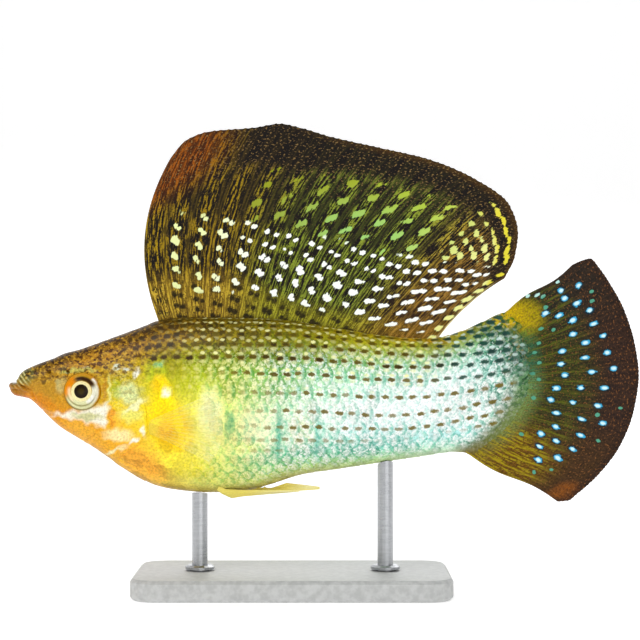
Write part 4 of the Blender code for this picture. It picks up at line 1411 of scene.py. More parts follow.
@dataclass(frozen=True)
class ScaleCoat:
    """Overlapping round-edged scales in staggered rows over one flank."""

    shape: BodyShape
    flank: FlankMap
    paint: BodyPaint
    relief: HeadRelief
    side: float
    word: str
    row_gap: SmoothCurve = SmoothCurve((
        (-60.0, 1.5), (-48.0, 2.3), (-36.0, 3.1), (-20.0, 3.5), (-4.6, 3.5),
        (14.5, 3.2), (30.0, 2.7), (42.0, 2.4),
    ))
    period: SmoothCurve = SmoothCurve((
        (-60.0, 1.2), (-48.0, 1.7), (-36.0, 2.2), (-20.0, 2.4), (5.0, 2.5), (30.0, 2.8), (42.0, 2.6),
    ))
    row_level: SmoothCurve = SmoothCurve((
        (0.0, 0.0), (1.0, 1.0), (2.0, 1.86), (3.0, 2.58), (4.0, 3.2), (5.0, 3.76),
        (6.0, 4.24), (8.0, 5.1), (10.0, 5.9), (12.0, 6.7), (16.0, 8.3),
    ))
    first_x: float = -52.0
    last_x: float = 38.0
    rows: int = 15
    half_share: float = 0.96
    length_share: float = 2.05
    turn_share: float = 0.42
    root_height: float = 0.02
    slope: float = 0.058
    rim: float = 0.2
    across: int = 12
    along: int = 11
    map_start: float = -53.0
    map_length: float = 94.0
    map_girth: float = 56.0
    map_share: float = 0.88
    map_rim_share: float = 0.98

    def build(self) -> bpy.types.Object:
        """Builds the coat of one side.

        Returns:
            The piece.
        """
        x, girth, row = (part[:, None, None] for part in self.roots())
        draws = np.random.default_rng(SEED + int(self.side)).random((len(x), 5))[:, None, None]
        gap, period = self.row_gap, self.period(x)
        room = gap(x) * (self.level(row + 0.5) - self.level(row - 0.5))
        half = self.half_share * room * (0.97 + 0.06 * draws[..., 0])
        length = self.length_share * period * (0.97 + 0.06 * draws[..., 1])
        angle = np.linspace(-0.5 * math.pi, 0.5 * math.pi, self.across + 1)
        steps = np.linspace(0.0, 1.0, self.along + 1)[:, None]
        end = self.turn_share + (1.0 - self.turn_share) * np.cos(angle)
        place_x = x + length * steps * end
        aside = half * np.sin(angle)
        place_a = (girth + aside) * gap(place_x) / gap(x)
        rise = self.root_height + self.slope * (place_x - x) - 0.05 * np.sin(angle) ** 2
        rise = rise + 0.03 * (draws[..., 2] - 0.5) + 0.06 * np.sin(steps * math.pi) * np.cos(angle)
        heights = self.flank.at(place_x, place_a, np.zeros_like(place_x))
        sink = self.relief.scaled(place_x, heights[..., 2]) * self.relief.scale_depth
        points = self.flank.at(place_x, place_a, rise - np.maximum(sink, 0.0))
        under = self.flank.at(place_x, place_a, rise - sink - self.rim)
        values = self.dress(place_x, place_a, points, aside, steps, draws)
        draft = MeshDraft()
        self.write(draft, points, under, self.maps(x, girth, room, period), values)
        finish = HideFinish("molly_scales_" + self.word, Cover.SCALES)
        piece = draft.piece("scale_coat_" + self.word, finish.material())
        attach(piece, "root")
        return piece

    def roots(self) -> tuple[Array, Array, Array]:
        """Gives the roots of the scales, in staggered rows.

        Returns:
            Their places along the fish, girths and row numbers.
        """
        columns = [self.first_x]
        while columns[-1] < self.last_x:
            columns.append(columns[-1] + 0.5 * float(self.period(columns[-1])))
        found = []
        for number, x in enumerate(columns):
            for row in range(-self.rows, self.rows + 1):
                if (row + number) % 2:
                    continue
                girth = float(self.level(np.array(row)) * self.row_gap(x))
                share = float(self.flank.share(np.array(x), np.array(girth)))
                margin = 0.3 * float(self.row_gap(x)) / float(np.interp(x, self.flank.xs, self.flank.girth))
                if not -margin < share < 1.0 + margin:
                    continue
                z = float(self.flank.at(np.array([x]), np.array([girth]), np.zeros(1))[0, 2])
                if self.covers(x, z):
                    found.append((x, girth, row))
        return tuple(np.array(found).T)

    def level(self, row: Array) -> Array:
        """Gives how far rows lie from the mid row, counted in middle row gaps."""
        return np.sign(row) * self.row_level(np.abs(row))

    def covers(self, x: float, z: float) -> bool:
        """Tells whether a scale grows from a place.

        Args:
            x: place along the fish.
            z: height.

        Returns:
            True where one grows.
        """
        behind = x > float(self.shape.gill(z)) - 1.6
        nape = z > 44.0 + 0.1 * (x + 44.0) and x > -51.5
        return (behind or nape) and x < float(self.shape.tail(z)) - 3.4

    def dress(
        self, x: Array, girth: Array, points: Array, aside: Array, steps: Array, draws: Array
    ) -> Values:
        """Gives what is painted on the scales.

        Args:
            x: places of the points along the fish.
            girth: their girths.
            points: their places in space.
            aside: distances from the scales' middle lines.
            steps: share of the length of each row.
            draws: random numbers of each scale.

        Returns:
            Painted values by name.
        """
        z = points[..., 2]
        colour = self.paint.colour(x, z) * (0.78 + 0.4 * draws[..., 3, None])
        traits = self.paint.traits(x, z)
        traits[..., 0] *= 0.65 + 0.35 * draws[..., 4]
        flat = joined(x, girth + (SIDE_OFFSET if self.side < 0.0 else 0.0), np.zeros_like(x))
        tips = self.paint.tips(x, z) * (0.45 + 0.55 * draws[..., 2])
        across = aside + 0.34 * (draws[..., 1] - 0.5)
        along = (x - x[:, :1]) / (x[:, -1:, self.across // 2, None] - x[:, :1])
        along = along + 0.06 * (draws[..., 0] - 0.5)
        local = joined(*np.broadcast_arrays(across, along, tips, steps))
        return {"paint": four(np.clip(colour, 0, 1)), "traits": traits, "flat": flat, "local": local}

    def maps(self, x: Array, girth: Array, gap: Array, period: Array) -> tuple[Array, Array]:
        """Gives the scales' patches on the unwrapped flank.

        Args:
            x: places of the roots.
            girth: their girths.
            gap: distance between rows there.
            period: distance between scales there.

        Returns:
            Map places of the scales, and of their rims' lower edges.
        """
        middle_u = (x - self.map_start) / self.map_length
        middle_v = 0.5 + girth / self.map_girth
        across = np.linspace(-0.5, 0.5, self.across + 1)
        steps = np.linspace(-0.5, 0.5, self.along + 1)[:, None]

        def spread(share: float) -> Array:
            """Gives the patches at a share of each scale's room.

            Args:
                share: how much of the room a patch takes up.

            Returns:
                Map places of each scale's points.
            """
            u = middle_u + share * period / self.map_length * steps
            v = middle_v + share * gap / self.map_girth * across
            return joined(*np.broadcast_arrays(u, v))

        return spread(self.map_share), spread(self.map_rim_share)

    def write(
        self, draft: MeshDraft, points: Array, under: Array, maps: tuple[Array, Array],
        values: Values,
    ) -> None:
        """Writes every scale's sheet and rim to the draft.

        Args:
            draft: what the coat is gathered in.
            points: the scales' points.
            under: the same points at their rims' lower edge.
            maps: map places of both.
            values: painted values by name.
        """
        mirror = np.array([1.0, self.side, 1.0])
        count, rows, columns = points.shape[:3]
        cell = rows * columns
        first = draft.add_points(points * mirror, values)
        sheet = np.arange(cell).reshape(rows, columns)
        starts = first + cell * np.arange(count)
        flip = self.side > 0.0
        faces = quads(sheet, flip)
        flat_maps = maps[0].reshape(count, cell, 2)
        draft.add_faces((starts[:, None, None] + faces).reshape(-1, 4), flat_maps[:, faces].reshape(-1, 4, 2))
        border = np.concatenate([sheet[:, 0], sheet[-1, 1:], sheet[-2::-1, -1]])
        picked = {key: part.reshape(count, cell, -1)[:, border] for key, part in values.items()}
        lower = draft.add_points(under.reshape(count, cell, 3)[:, border] * mirror, picked)
        lower_starts = lower + len(border) * np.arange(count)
        top = starts[:, None] + border
        bottom = lower_starts[:, None] + np.arange(len(border))
        corners = [top[:, :-1], top[:, 1:], bottom[:, 1:], bottom[:, :-1]]
        outer = maps[1].reshape(count, cell, 2)[:, border]
        inner = flat_maps[:, border]
        places = [inner[:, :-1], inner[:, 1:], outer[:, 1:], outer[:, :-1]]
        if not flip:
            corners.reverse()
            places.reverse()
        draft.add_faces(np.stack(corners, axis=2).reshape(-1, 4), np.stack(places, axis=2).reshape(-1, 4, 2))


@dataclass(frozen=True)
class FinGrid:
    """Places on a fin that its markings are worked out from."""

    share: Array
    row: Array
    ray: Array
    along: Array
    gap: Array
    ridge: Array
    points: Array
    face: float

    def fill(self, colour: Tint) -> Array:
        """Spreads one colour over the fin."""
        return np.broadcast_to(tone(colour), (*self.share.shape, 3))

    def spots(
        self, distance: Array, pitch: float, halves: tuple[Array | float, Array | float],
        apart: Array | float, seed: int, missing: Array | float = 0.0, slip: float = 0.42,
        shift: Array | float = 0.06,
    ) -> Array:
        """Gives spots of two lobes between each two rays, at every step.

        Args:
            distance: distance that the steps are counted by.
            pitch: length of a step.
            halves: half width and half length of a spot.
            apart: how far each lobe lies from the middle, as a share of the gap.
            seed: seed of their places and sizes.
            missing: share of the spots that is left out.
            slip: how far the steps lie nearer the root in each next gap, as a share of a step.
            shift: how far the rear lobe lies nearer the root than the middle.

        Returns:
            A value that falls from 1 at a spot's middle to 0.5 at its edge.
        """
        column, found = np.floor(self.ray).astype(int), []
        for number, side in enumerate((-1.0, 1.0)):
            phase = 0.16 * np.random.default_rng(seed + 50).random(64)[column % 64]
            step = distance / pitch + slip * column + phase + shift * side
            ahead = np.floor(step).astype(int)
            draws = np.random.default_rng(seed).random((64, 64, 5))[column % 64, ahead % 64]
            draws = np.abs(draws - 0.3 * number * draws[..., 1:2])
            aside = (self.ray - column - 0.5 - side * apart + 0.2 * (draws[..., 0] - 0.5)) * self.gap
            past = (step - ahead - 0.5 + 0.24 * (draws[..., 1] - 0.5)) * pitch
            size = 0.82 + 0.3 * draws[..., 2]
            wide, long = halves[0] * size, halves[1] * size * (0.85 + 0.3 * draws[..., 3])
            value = 1.0 - 0.5 * np.hypot(aside / wide, past / long)
            found.append(np.where(draws[..., 4] < missing, 0.7 * value, value))
        return np.maximum(*found)

    def placed_spots(
        self, places: Points, middle: Pair, halves: Pair, seed: int
    ) -> Array:
        """Gives spots at given places, drawn out away from a middle.

        Args:
            places: place along the fish and height of each spot.
            middle: where the rays spread from.
            halves: half length and half width of a spot.
            seed: seed of their sizes.

        Returns:
            A value that falls from 1 at a spot's middle to 0.5 at its edge.
        """
        draws = np.random.default_rng(seed).random((len(places), 2))
        field_value = np.full(self.share.shape, -1.0)
        for (x, z), draw in zip(places, draws):
            run = np.array([x - middle[0], z - middle[1]])
            run = run / np.linalg.norm(run)
            along, up = self.points[..., 0] - x, self.points[..., 2] - z
            far = (along * run[0] + up * run[1]) / (halves[0] * (0.85 + 0.3 * draw[0]))
            aside = (up * run[0] - along * run[1]) / (halves[1] * (0.85 + 0.3 * draw[1]))
            field_value = np.maximum(field_value, 1.0 - 0.5 * np.hypot(far, aside))
        return field_value


@dataclass
class RayedFin:
    """A fin of branching rays raised in both faces of a thin membrane."""

    name: str
    node: str
    slot: str
    finish: FinFinish
    rays: int
    shape: BodyShape = field(default_factory=BodyShape)
    columns: int = 14
    rows: int = 110
    root_row: float = -0.05
    web: float = 0.1
    ray_root: float = 0.34
    ray_tip: float = 0.15
    ray_width: float = 0.24
    root_half: float = 0.8
    fade: float = 0.12
    fork_rows: Pair = (0.3, 0.62)
    scallop: float = 0.004
    flat_width: float = 10.0

    def place(self, share: Array, row: Array) -> Array:
        """Gives points of the fin's middle sheet; each fin has its own."""
        raise NotImplementedError

    def markings(self, grid: FinGrid) -> Values:
        """Gives what is painted on the fin; each fin has its own."""
        raise NotImplementedError

    def ray_distance(self, ray: Array, row: Array, gap: Array) -> Array:
        """Gives the distance from the nearest branch of a ray.

        Args:
            ray: place across the fin, counted in rays.
            row: share from root to tip.
            gap: distance between rays there.

        Returns:
            The distance, in millimetres.
        """
        aside = ray - np.round(ray)
        first = 0.25 * ease(row, self.fork_rows[0], 1.15)
        second = 0.125 * ease(row, self.fork_rows[1], 1.1)
        nearest = np.abs(np.abs(np.abs(aside) - first) - second)
        return nearest * gap

    def build(self) -> bpy.types.Object:
        """Builds the fin.

        Returns:
            The piece.
        """
        count = (self.rays - 1) * self.columns
        ray = np.linspace(0.0, self.rays - 1.0, count + 1)[:, None] * np.ones(self.rows + 1)
        share = ray / (self.rays - 1.0)
        rise = np.linspace(0.0, 1.0, self.rows + 1) * np.ones((count + 1, 1))
        row = self.root_row + (1.0 - self.root_row) * rise
        middle = self.place(share, row)
        gap = np.linalg.norm(np.gradient(middle, axis=0), axis=-1) * self.columns
        ridge = bell(self.ray_distance(ray, row, gap), self.ray_width)
        notch = self.scallop * ease(row, 0.85, 1.0) * (1.0 - ridge)
        middle = self.place(share, row * (1.0 - notch))
        normal = grid_normals(middle, wrap=False)
        height = self.ray_root + (self.ray_tip - self.ray_root) * np.clip(row, 0.0, 1.0) ** 0.7
        half = self.web + (height - self.web) * ridge
        half = half + np.clip(1.0 - row / self.fade, 0.0, 1.0) ** 1.5 * (self.root_half - half)
        steps = np.linalg.norm(np.diff(middle, axis=1), axis=-1)
        along = np.concatenate([np.zeros((count + 1, 1)), np.cumsum(steps, axis=1)], axis=1)
        along = along + self.root_row / (1.0 - self.root_row) * along[:, -1:]
        draft = MeshDraft()
        starts = []
        for face, left in ((1.0, 0.01), (-1.0, 0.51)):
            points = middle + normal * (face * half)[..., None]
            maps = joined(left + 0.475 * share, 0.01 + 0.965 * rise)
            grid = FinGrid(share, row, ray, along, gap, ridge, middle, face)
            starts.append(draft.add_grid(points, maps, self.markings(grid), flip=face < 0))
        self.close(draft, starts, count + 1, self.rows + 1)
        piece = draft.piece(self.name, self.finish.material())
        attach(piece, "root")
        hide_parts(self.node)
        return piece

    @staticmethod
    def close(draft: MeshDraft, starts: list[int], columns: int, rows: int) -> None:
        """Joins the edges of the two faces.

        Args:
            draft: what the fin is gathered in.
            starts: number of each face's first point.
            columns: points across.
            rows: points from root to tip.
        """
        sheet = np.arange(columns * rows).reshape(columns, rows)
        border = np.concatenate([sheet[:, 0], sheet[-1, 1:], sheet[-2::-1, -1], sheet[0, -2::-1]])
        run = np.linspace(0.01, 0.99, len(border))
        corners, places = strip(border + starts[0], border + starts[1], run, (0.982, 0.994), True)
        draft.add_faces(corners, places[..., ::-1])

    def painted(self, grid: FinGrid, web: Array, rays: Array, tint: Array, marks: Array) -> Values:
        """Gives what is painted on the fin.

        Args:
            grid: places on the fin.
            web: colours of the membrane.
            rays: colours of the rays and streaks.
            tint: colours of the spots.
            marks: strengths of rays, spots, flecks and streaks.

        Returns:
            Painted values by name.
        """
        across = grid.share * self.flat_width + (SIDE_OFFSET if grid.face < 0 else 0.0)
        flat = joined(across, grid.along, np.zeros_like(across))
        tones = {"paint": four(web), "ray_tone": four(rays), "tint": four(tint)}
        return {**tones, "marks": np.clip(marks, -1.0, 1.5), "flat": flat}


@dataclass
class SailFin(RayedFin):
    """The tall dorsal fin."""

    flat_width: float = 66.0
    white_pitch: float = 2.75
    green_pitch: float = 3.7
    arc_pitch: float = 2.7
    trail_pitch: float = 2.6
    hole_pitch: float = 2.3
    base: Pair = (-31.7, 22.2)
    margin: SmoothPath = SmoothPath((
        (-29.2, 83.0), (-26.5, 86.2), (-22.0, 88.0), (-13.0, 88.8), (-8.5, 89.5),
        (-4.5, 88.7), (1.0, 87.0), (10.7, 84.7), (20.2, 82.4), (29.8, 78.2), (35.5, 73.8),
        (37.2, 68.5), (36.6, 64.0), (34.6, 59.8),
    ))

    def place(self, share: Array, row: Array) -> Array:
        """Gives points of the sail's middle sheet.

        Args:
            share: place along the base.
            row: share from root to tip.

        Returns:
            The points.
        """
        x = self.base[0] + (self.base[1] - self.base[0]) * share
        root = joined(x, np.zeros_like(x), self.shape.back(x) + self.shape.clearance)
        tip = self.margin(np.minimum(share + 0.07 * np.sin(math.pi * share), 1.0))
        chord = tip - root
        forward = unit(joined(-chord[..., 2], np.zeros_like(x), chord[..., 0]))
        bow = (3.0 * (1.0 - share) ** 1.5 + 0.8) * 4.0 * row * (1.0 - row)
        points = root + chord * row[..., None] + forward * bow[..., None]
        points[..., 1] += 1.5 * row * row * np.sin(2.4 * math.pi * share + 0.5)
        return points

    def markings(self, grid: FinGrid) -> Values:
        """Gives the sail's colours, rays and rows of spots.

        Args:
            grid: places on the fin.

        Returns:
            Painted values by name.
        """
        share, row, along = grid.share, grid.row, grid.along
        edge = along[:, -1:] - along
        amber = ease(oval(share, row, (0.03, 0.88), (0.125, 0.27)), 1.25, 0.5)
        wide = 3.5 * bell(share - 0.25, 0.12)
        band = ease(edge, 8.5 + wide, 4.0 + wide) * ease(share, 0.13, 0.2)
        ahead = ease(share, 0.5, 0.2)
        base = ease(along, 5.2 + 4.6 * ahead, 1.0 + 5.0 * ahead)
        rear = ease(share, 0.62, 0.88)
        green = ease(share, 0.2, 0.4) * (1.0 - rear)
        web = layered(
            tone((17, 12, 9)),
            ((46, 28, 8), rear * ease(row, 0.62, 0.3)),
            ((68, 30, 2), amber * 0.9),
            ((58, 36, 8), ease(edge, 1.8, 0.3) * ease(share, 0.2, 0.5)),
        )
        olive = layered(tone((112, 86, 16)), ((104, 98, 12), green))
        web = blend(web, olive, base * (1.0 - rear) * 0.85)
        web = layered(web, ((120, 88, 14), base * rear * 0.7))
        rays = layered(
            tone((170, 138, 16)),
            ((152, 168, 50), green),
            ((176, 132, 50), rear),
            ((156, 82, 6), amber),
            ((74, 54, 26), band * 0.85),
        )
        golden = layered(tone((206, 172, 52)), ((172, 168, 40), green))
        rays = blend(rays, golden, base * (1.0 - rear))
        rays = layered(rays, ((238, 226, 160), ease(share, 0.985, 0.997) * ease(row, 0.95, 0.6)))
        spot, tint, green_zone = self.spots(grid, edge)
        dark = grid.spots(along, self.hole_pitch, (0.62, 0.66), 0.14, SEED + 12, 0.1, 0.5, 0.1)
        holes = ease(dark, 0.45, 0.62) * base * (1.0 - 0.7 * rear)
        web = layered(web, ((30, 24, 2), holes * 0.9))
        lane = ease(np.abs(grid.ray - np.floor(grid.ray) - 0.5), 0.4, 0.24)
        front = ease(share, 0.085, 0.03)
        streak = 0.72 * (1.0 - band) * (1.0 - green_zone * (1.0 - rear)) + green_zone * lane * 0.8
        streak = np.maximum(streak, np.maximum(amber, 0.9 * base)) * (1.0 - holes)
        streak = np.maximum(streak, 0.95 * front) * ease(edge, 0.0, 1.2)
        strength = (0.45 - 0.3 * green_zone + 0.3 * base + 0.2 * front) * (1.0 - 0.6 * band) * (1.0 - holes)
        ray = grid.ridge * np.where(share > 0.985, 1.0, strength)
        marks = joined(ray, spot, 0.9 * ease(edge, 14.0, 7.0) + 0.25, streak)
        return self.painted(grid, web, rays, tint, marks)

    def spots(self, grid: FinGrid, edge: Array) -> tuple[Array, Array, Array]:
        """Gives the rows of white spots, the green spots, the arcs and the trail behind.

        Args:
            grid: places on the fin.
            edge: distance from the free edge.

        Returns:
            The spots, their colours, and where the green ones lie.
        """
        share, along = grid.share, grid.along
        slant = ease(share, 0.45, 0.8)
        limit = 20.0 - 2.5 * ease(share, 0.15, 0.5) + 4.0 * ease(share, 0.6, 0.9)
        lowest = 4.4 - 2.0 * ease(share, 0.3, 0.6) - 1.4 * ease(share, 0.7, 0.9)
        line = ease(edge, 6.8, 4.2)
        halves = (0.66 + 0.3 * line, 0.66 - 0.1 * line)
        arcs = grid.spots(edge + 1.5, self.arc_pitch, halves, 0.24, SEED + 8, 0.1, 0.0, 0.09)
        arc_zone = ease(share, 0.68, 0.78) * ease(edge, 0.7, 1.5) * ease(along, limit - 3.0, limit)
        trail = grid.spots(along, self.trail_pitch, (0.5, 0.8), 0.05, SEED + 6) * ease(share, 0.925, 0.945)
        split = 0.05 + 0.14 * ease(along, 8.0, 15.0) * ease(share, 0.1, 0.35) + 0.05 * slant
        halves = (0.56 + 0.06 * slant, 0.54 + 0.02 * slant)
        white = grid.spots(along, self.white_pitch, halves, split, SEED, 0.04, 0.28, 0.12 - 0.18 * slant)
        white_zone = ease(along, limit + 1.5, limit - 1.5) * ease(along, lowest - 0.8, lowest + 0.4)
        white_zone = white_zone * (1.0 - 0.9 * arc_zone) * ease(share, 0.945, 0.925)
        white = white * white_zone * ease(share, 0.055, 0.075)
        few = 0.06 + 0.4 * ease(share, 0.5, 0.25)
        halves = (0.52, 0.92 - 0.2 * slant)
        green = grid.spots(along, self.green_pitch, halves, 0.07, SEED + 3, few, 0.38, -0.05)
        margin = 5.5 * (1.0 - share)
        green_zone = ease(along, limit - 2.5, limit + 0.5) * ease(edge, 3.0 + margin, 6.0 + margin)
        green = green * green_zone * ease(share, 0.15, 0.26) * (1.0 - arc_zone)
        others = np.maximum(green, np.maximum(arcs * arc_zone, trail))
        tint = layered(
            tone((146, 150, 20)),
            ((176, 198, 58), ease(share, 0.3, 0.7)),
            ((156, 206, 112), bell(oval(share, grid.row, (0.55, 0.52), (0.2, 0.16)), 1.0)),
            ((244, 242, 160), ease(share, 0.62, 0.88) * 0.8),
            ((226, 214, 58), ease(edge, 6.5, 4.0) * ease(share, 0.68, 0.8)),
        )
        pale = layered(tone((232, 240, 170)), ((250, 255, 246), ease(share, 0.12, 0.34)))
        tint = blend(tint, pale, ease(white - others, -0.1, 0.1) * white_zone)
        return np.maximum(white, others), tint, green_zone


@dataclass
class TailFin(RayedFin):
    """The fan-shaped tail fin."""

    flat_width: float = 40.0
    paint: BodyPaint = field(default_factory=lambda: BodyPaint(BodyShape()))
    heart: Pair = (21.0, 40.0)
    view_corner: Pair = (438.0, 278.0)
    view_times: float = 7.327
    spots_in_view: Points = (
        (905, 92), (1035, 55), (930, 148), (1020, 185), (1115, 238), (788, 258), (888, 275),
        (988, 310), (1143, 337), (990, 412), (1213, 424), (1080, 475), (910, 537), (1238, 547),
        (1075, 583), (902, 630), (1284, 662), (928, 713), (1125, 688), (865, 808), (1045, 805),
        (1217, 805), (825, 892), (985, 912), (1165, 935), (865, 988), (1050, 1033), (1203, 1062),
        (862, 1088), (755, 1140), (1042, 1150), (865, 1192), (742, 1232), (985, 1252),
        (735, 1333), (878, 1318),
    )
    pale_in_view: Points = (
        (880, 30), (772, 135), (725, 125), (655, 130), (1130, 100), (1133, 168), (705, 1422),
        (830, 1405), (1328, 952), (1172, 1188), (750, 370), (848, 380), (705, 545), (735, 480),
        (735, 742), (700, 880), (790, 215), (1165, 1000), (690, 700), (610, 1140), (740, 620),
    )
    base: Pair = (53.5, 26.1)
    margin: SmoothPath = SmoothPath((
        (47.6, 62.4), (49.4, 63.2), (51.0, 63.6), (52.7, 61.9), (54.7, 59.0),
        (57.5, 53.7), (59.4, 47.0), (60.0, 41.6), (59.0, 34.6), (56.5, 27.9),
        (52.7, 22.5), (48.4, 18.4), (46.8, 17.2), (44.8, 17.0),
    ))

    def place(self, share: Array, row: Array) -> Array:
        """Gives points of the tail fin's middle sheet.

        Args:
            share: place down the base.
            row: share from root to tip.

        Returns:
            The points.
        """
        z = self.base[0] + (self.base[1] - self.base[0]) * share
        root = joined(self.shape.tail(z) + self.shape.clearance + 0.1, np.zeros_like(z), z)
        tip = self.margin(share)
        points = root + (tip - root) * row[..., None]
        points[..., 1] += 1.4 * np.maximum(row, 0.0) ** 1.6 * np.sin(2.2 * math.pi * share + 0.7)
        points[..., 2] += 0.5 * np.sin(2.0 * math.pi * row) * (1.0 - 2.0 * share) ** 3
        return points

    def from_view(self, places: Points) -> Points:
        """Turns places read in the enlarged photo into places on the fish.

        Args:
            places: places across and down in the enlarged view.

        Returns:
            Place along the fish and height of each.
        """
        found = []
        for across, down in places:
            px = self.view_corner[0] + across / self.view_times
            py = self.view_corner[1] + down / self.view_times
            found.append(((px - PHOTO_MIDDLE) * PHOTO_SCALE, PHOTO_RISE + (PHOTO_FLOOR - py) * PHOTO_SCALE))
        return tuple(found)

    def markings(self, grid: FinGrid) -> Values:
        """Gives the tail fin's colours, rays and arcs of blue spots.

        Args:
            grid: places on the fin.

        Returns:
            Painted values by name.
        """
        share, row = grid.share, grid.row
        x, z = grid.points[..., 0], grid.points[..., 2]
        gold = ease(oval(x, z, (37.8, 52.4), (4.4, 3.3)), 1.3, 0.6)
        amber = ease(oval(share, row, (0.95, 0.2), (0.2, 0.5)), 1.3, 0.5)
        warm = np.clip(gold + amber, 0.0, 1.0)
        web = layered(
            tone((46, 46, 16)),
            ((44, 28, 21), ease(row, 0.4, 0.8)),
            ((34, 29, 22), ease(share, 0.36, 0.16) * ease(row, 0.2, 0.4) * 0.8),
            ((66, 44, 14), ease(share, 0.6, 0.86) * 0.7),
            ((140, 126, 0), gold),
            ((96, 66, 4), amber),
            ((128, 70, 14), ease(oval(share, row, (0.95, 0.92), (0.05, 0.1)), 1.4, 0.6) * 0.8),
            ((34, 20, 15), ease(row, 0.9, 0.99) * 0.8),
        )
        root_x = np.minimum(x, self.shape.tail(z) + 0.6)
        web = blend(web, self.paint.colour(root_x, z), ease(row, 0.24, 0.04) * 0.95)
        rays = layered(
            tone((104, 112, 22)),
            ((82, 54, 32), ease(row, 0.42, 0.75)),
            ((186, 162, 10), np.clip(gold + 0.8 * amber, 0.0, 1.0) * 0.9),
        )
        blue = grid.placed_spots(self.from_view(self.spots_in_view), self.heart, (0.74, 0.46), SEED + 5)
        pale = grid.placed_spots(self.from_view(self.pale_in_view), self.heart, (0.46, 0.32), SEED + 7)
        web = layered(web, ((6, 40, 54), ease(blue, 0.22, 0.46) * 0.9))
        small = ease(pale - blue, -0.05, 0.05)
        tint = layered(
            tone((52, 168, 212)),
            ((214, 248, 255), ease(blue, 0.56, 0.78)),
            ((84, 160, 132), small),
            ((190, 232, 224), ease(share, 0.08, 0.04) * small),
        )
        near = np.maximum(blue, pale)
        free = ease(near, 0.3, 0.15)
        ray = grid.ridge * (0.45 - 0.25 * ease(row, 0.5, 0.9) + 0.25 * warm)
        streak = free * (0.34 - 0.2 * ease(row, 0.4, 0.8) + 0.5 * warm)
        return self.painted(grid, web, rays, tint, joined(ray, near, 0.75 * free, streak))


@dataclass
class ClearFin(RayedFin):
    """A small pale fin with one plain set of colours."""

    columns: int = 8
    root_row: float = -0.09
    ray_width: float = 0.16
    root_half: float = 0.45
    fade: float = 0.2
    web_tone: Tint = (252, 236, 110)
    ray_colour: Tint = (244, 226, 120)
    tip_tone: Tint = (244, 246, 214)

    def markings(self, grid: FinGrid) -> Values:
        """Gives the fin's colours.

        Args:
            grid: places on the fin.

        Returns:
            Painted values by name.
        """
        web = layered(tone(self.web_tone), (self.tip_tone, ease(grid.row, 0.2, 0.9)))
        zero = np.zeros_like(grid.share)
        marks = joined(grid.ridge, zero - 1.0, zero, zero + 0.8)
        return self.painted(grid, web, grid.fill(self.ray_colour), grid.fill((255, 255, 246)), marks)


@dataclass
class PectoralFin(ClearFin):
    """A clear fin on the shoulder, held back and a little out."""

    side: float = 1.0
    root: Pair = (-31.4, 31.9)
    root_width: float = 3.4
    length: float = 14.0
    spread: Pair = (22.0, -22.0)
    out: float = 18.0

    def place(self, share: Array, row: Array) -> Array:
        """Gives points of the fin's middle sheet.

        Args:
            share: place down the root.
            row: share from root to tip.

        Returns:
            The points.
        """
        half = 0.5 * self.root_width
        heights = np.linspace(self.root[1] - half, self.root[1] + half, 9)
        roots = np.array([self.shape.flank_point(self.root[0], z, 0.75) for z in heights])
        root_z = self.root[1] + half - self.root_width * share
        root = joined(*(np.interp(root_z, heights, roots[:, i]) for i in range(3)))
        lean = np.radians(self.spread[0] + (self.spread[1] - self.spread[0]) * share)
        run = self.length * (0.72 + 0.28 * np.sin(math.pi * (0.12 + 0.72 * share))) * row
        out = np.radians(self.out + 6.0 * row)
        step = joined(run * np.cos(lean) * np.cos(out), run * np.cos(lean) * np.sin(out), run * np.sin(lean))
        return (root + step) * np.array([1.0, self.side, 1.0])


@dataclass
class PelvicFin(ClearFin):
    """A slim fin folded back under the belly."""

    side: float = 1.0

    def place(self, share: Array, row: Array) -> Array:
        """Gives points of the fin's middle sheet.

        Args:
            share: place from the outer ray to the inner.
            row: share from root to tip.

        Returns:
            The points.
        """
        outer = 3.3 - 2.0 * share
        lead_x = -18.8 + 1.4 * share
        root_z = self.shape.underside(lead_x, outer) - 0.85
        root = joined(lead_x, outer, root_z)
        tip = joined(-4.6 - 2.6 * share, 2.5 - 1.3 * share, 19.35 - 0.35 * share)
        points = root + (tip - root) * row[..., None]
        points[..., 2] -= np.minimum(row, 0.0) * 6.0
        return points * np.array([1.0, self.side, 1.0])


@dataclass
class Gonopodium(ClearFin):
    """The slim rod-like fin that trails under the belly."""

    ends: Pair = (-10.6, -0.8)

    def place(self, share: Array, row: Array) -> Array:
        """Gives points of the rod's middle sheet.

        Args:
            share: place from its upper edge to its lower.
            row: share from root to tip.

        Returns:
            The points.
        """
        x = self.ends[0] + (self.ends[1] - self.ends[0]) * row
        middle = 19.95 - 0.25 * row
        half = 0.85 * np.clip(1.0 - row, 0.0, 1.0) ** 0.8 + 0.22
        top = np.minimum(middle + half, self.shape.belly(x) - 0.75) - np.minimum(row, 0.0) * 8.0
        z = top + (middle - half - top) * share
        return joined(x - 1.2 * (1.0 - row) * share, np.zeros_like(x), z)


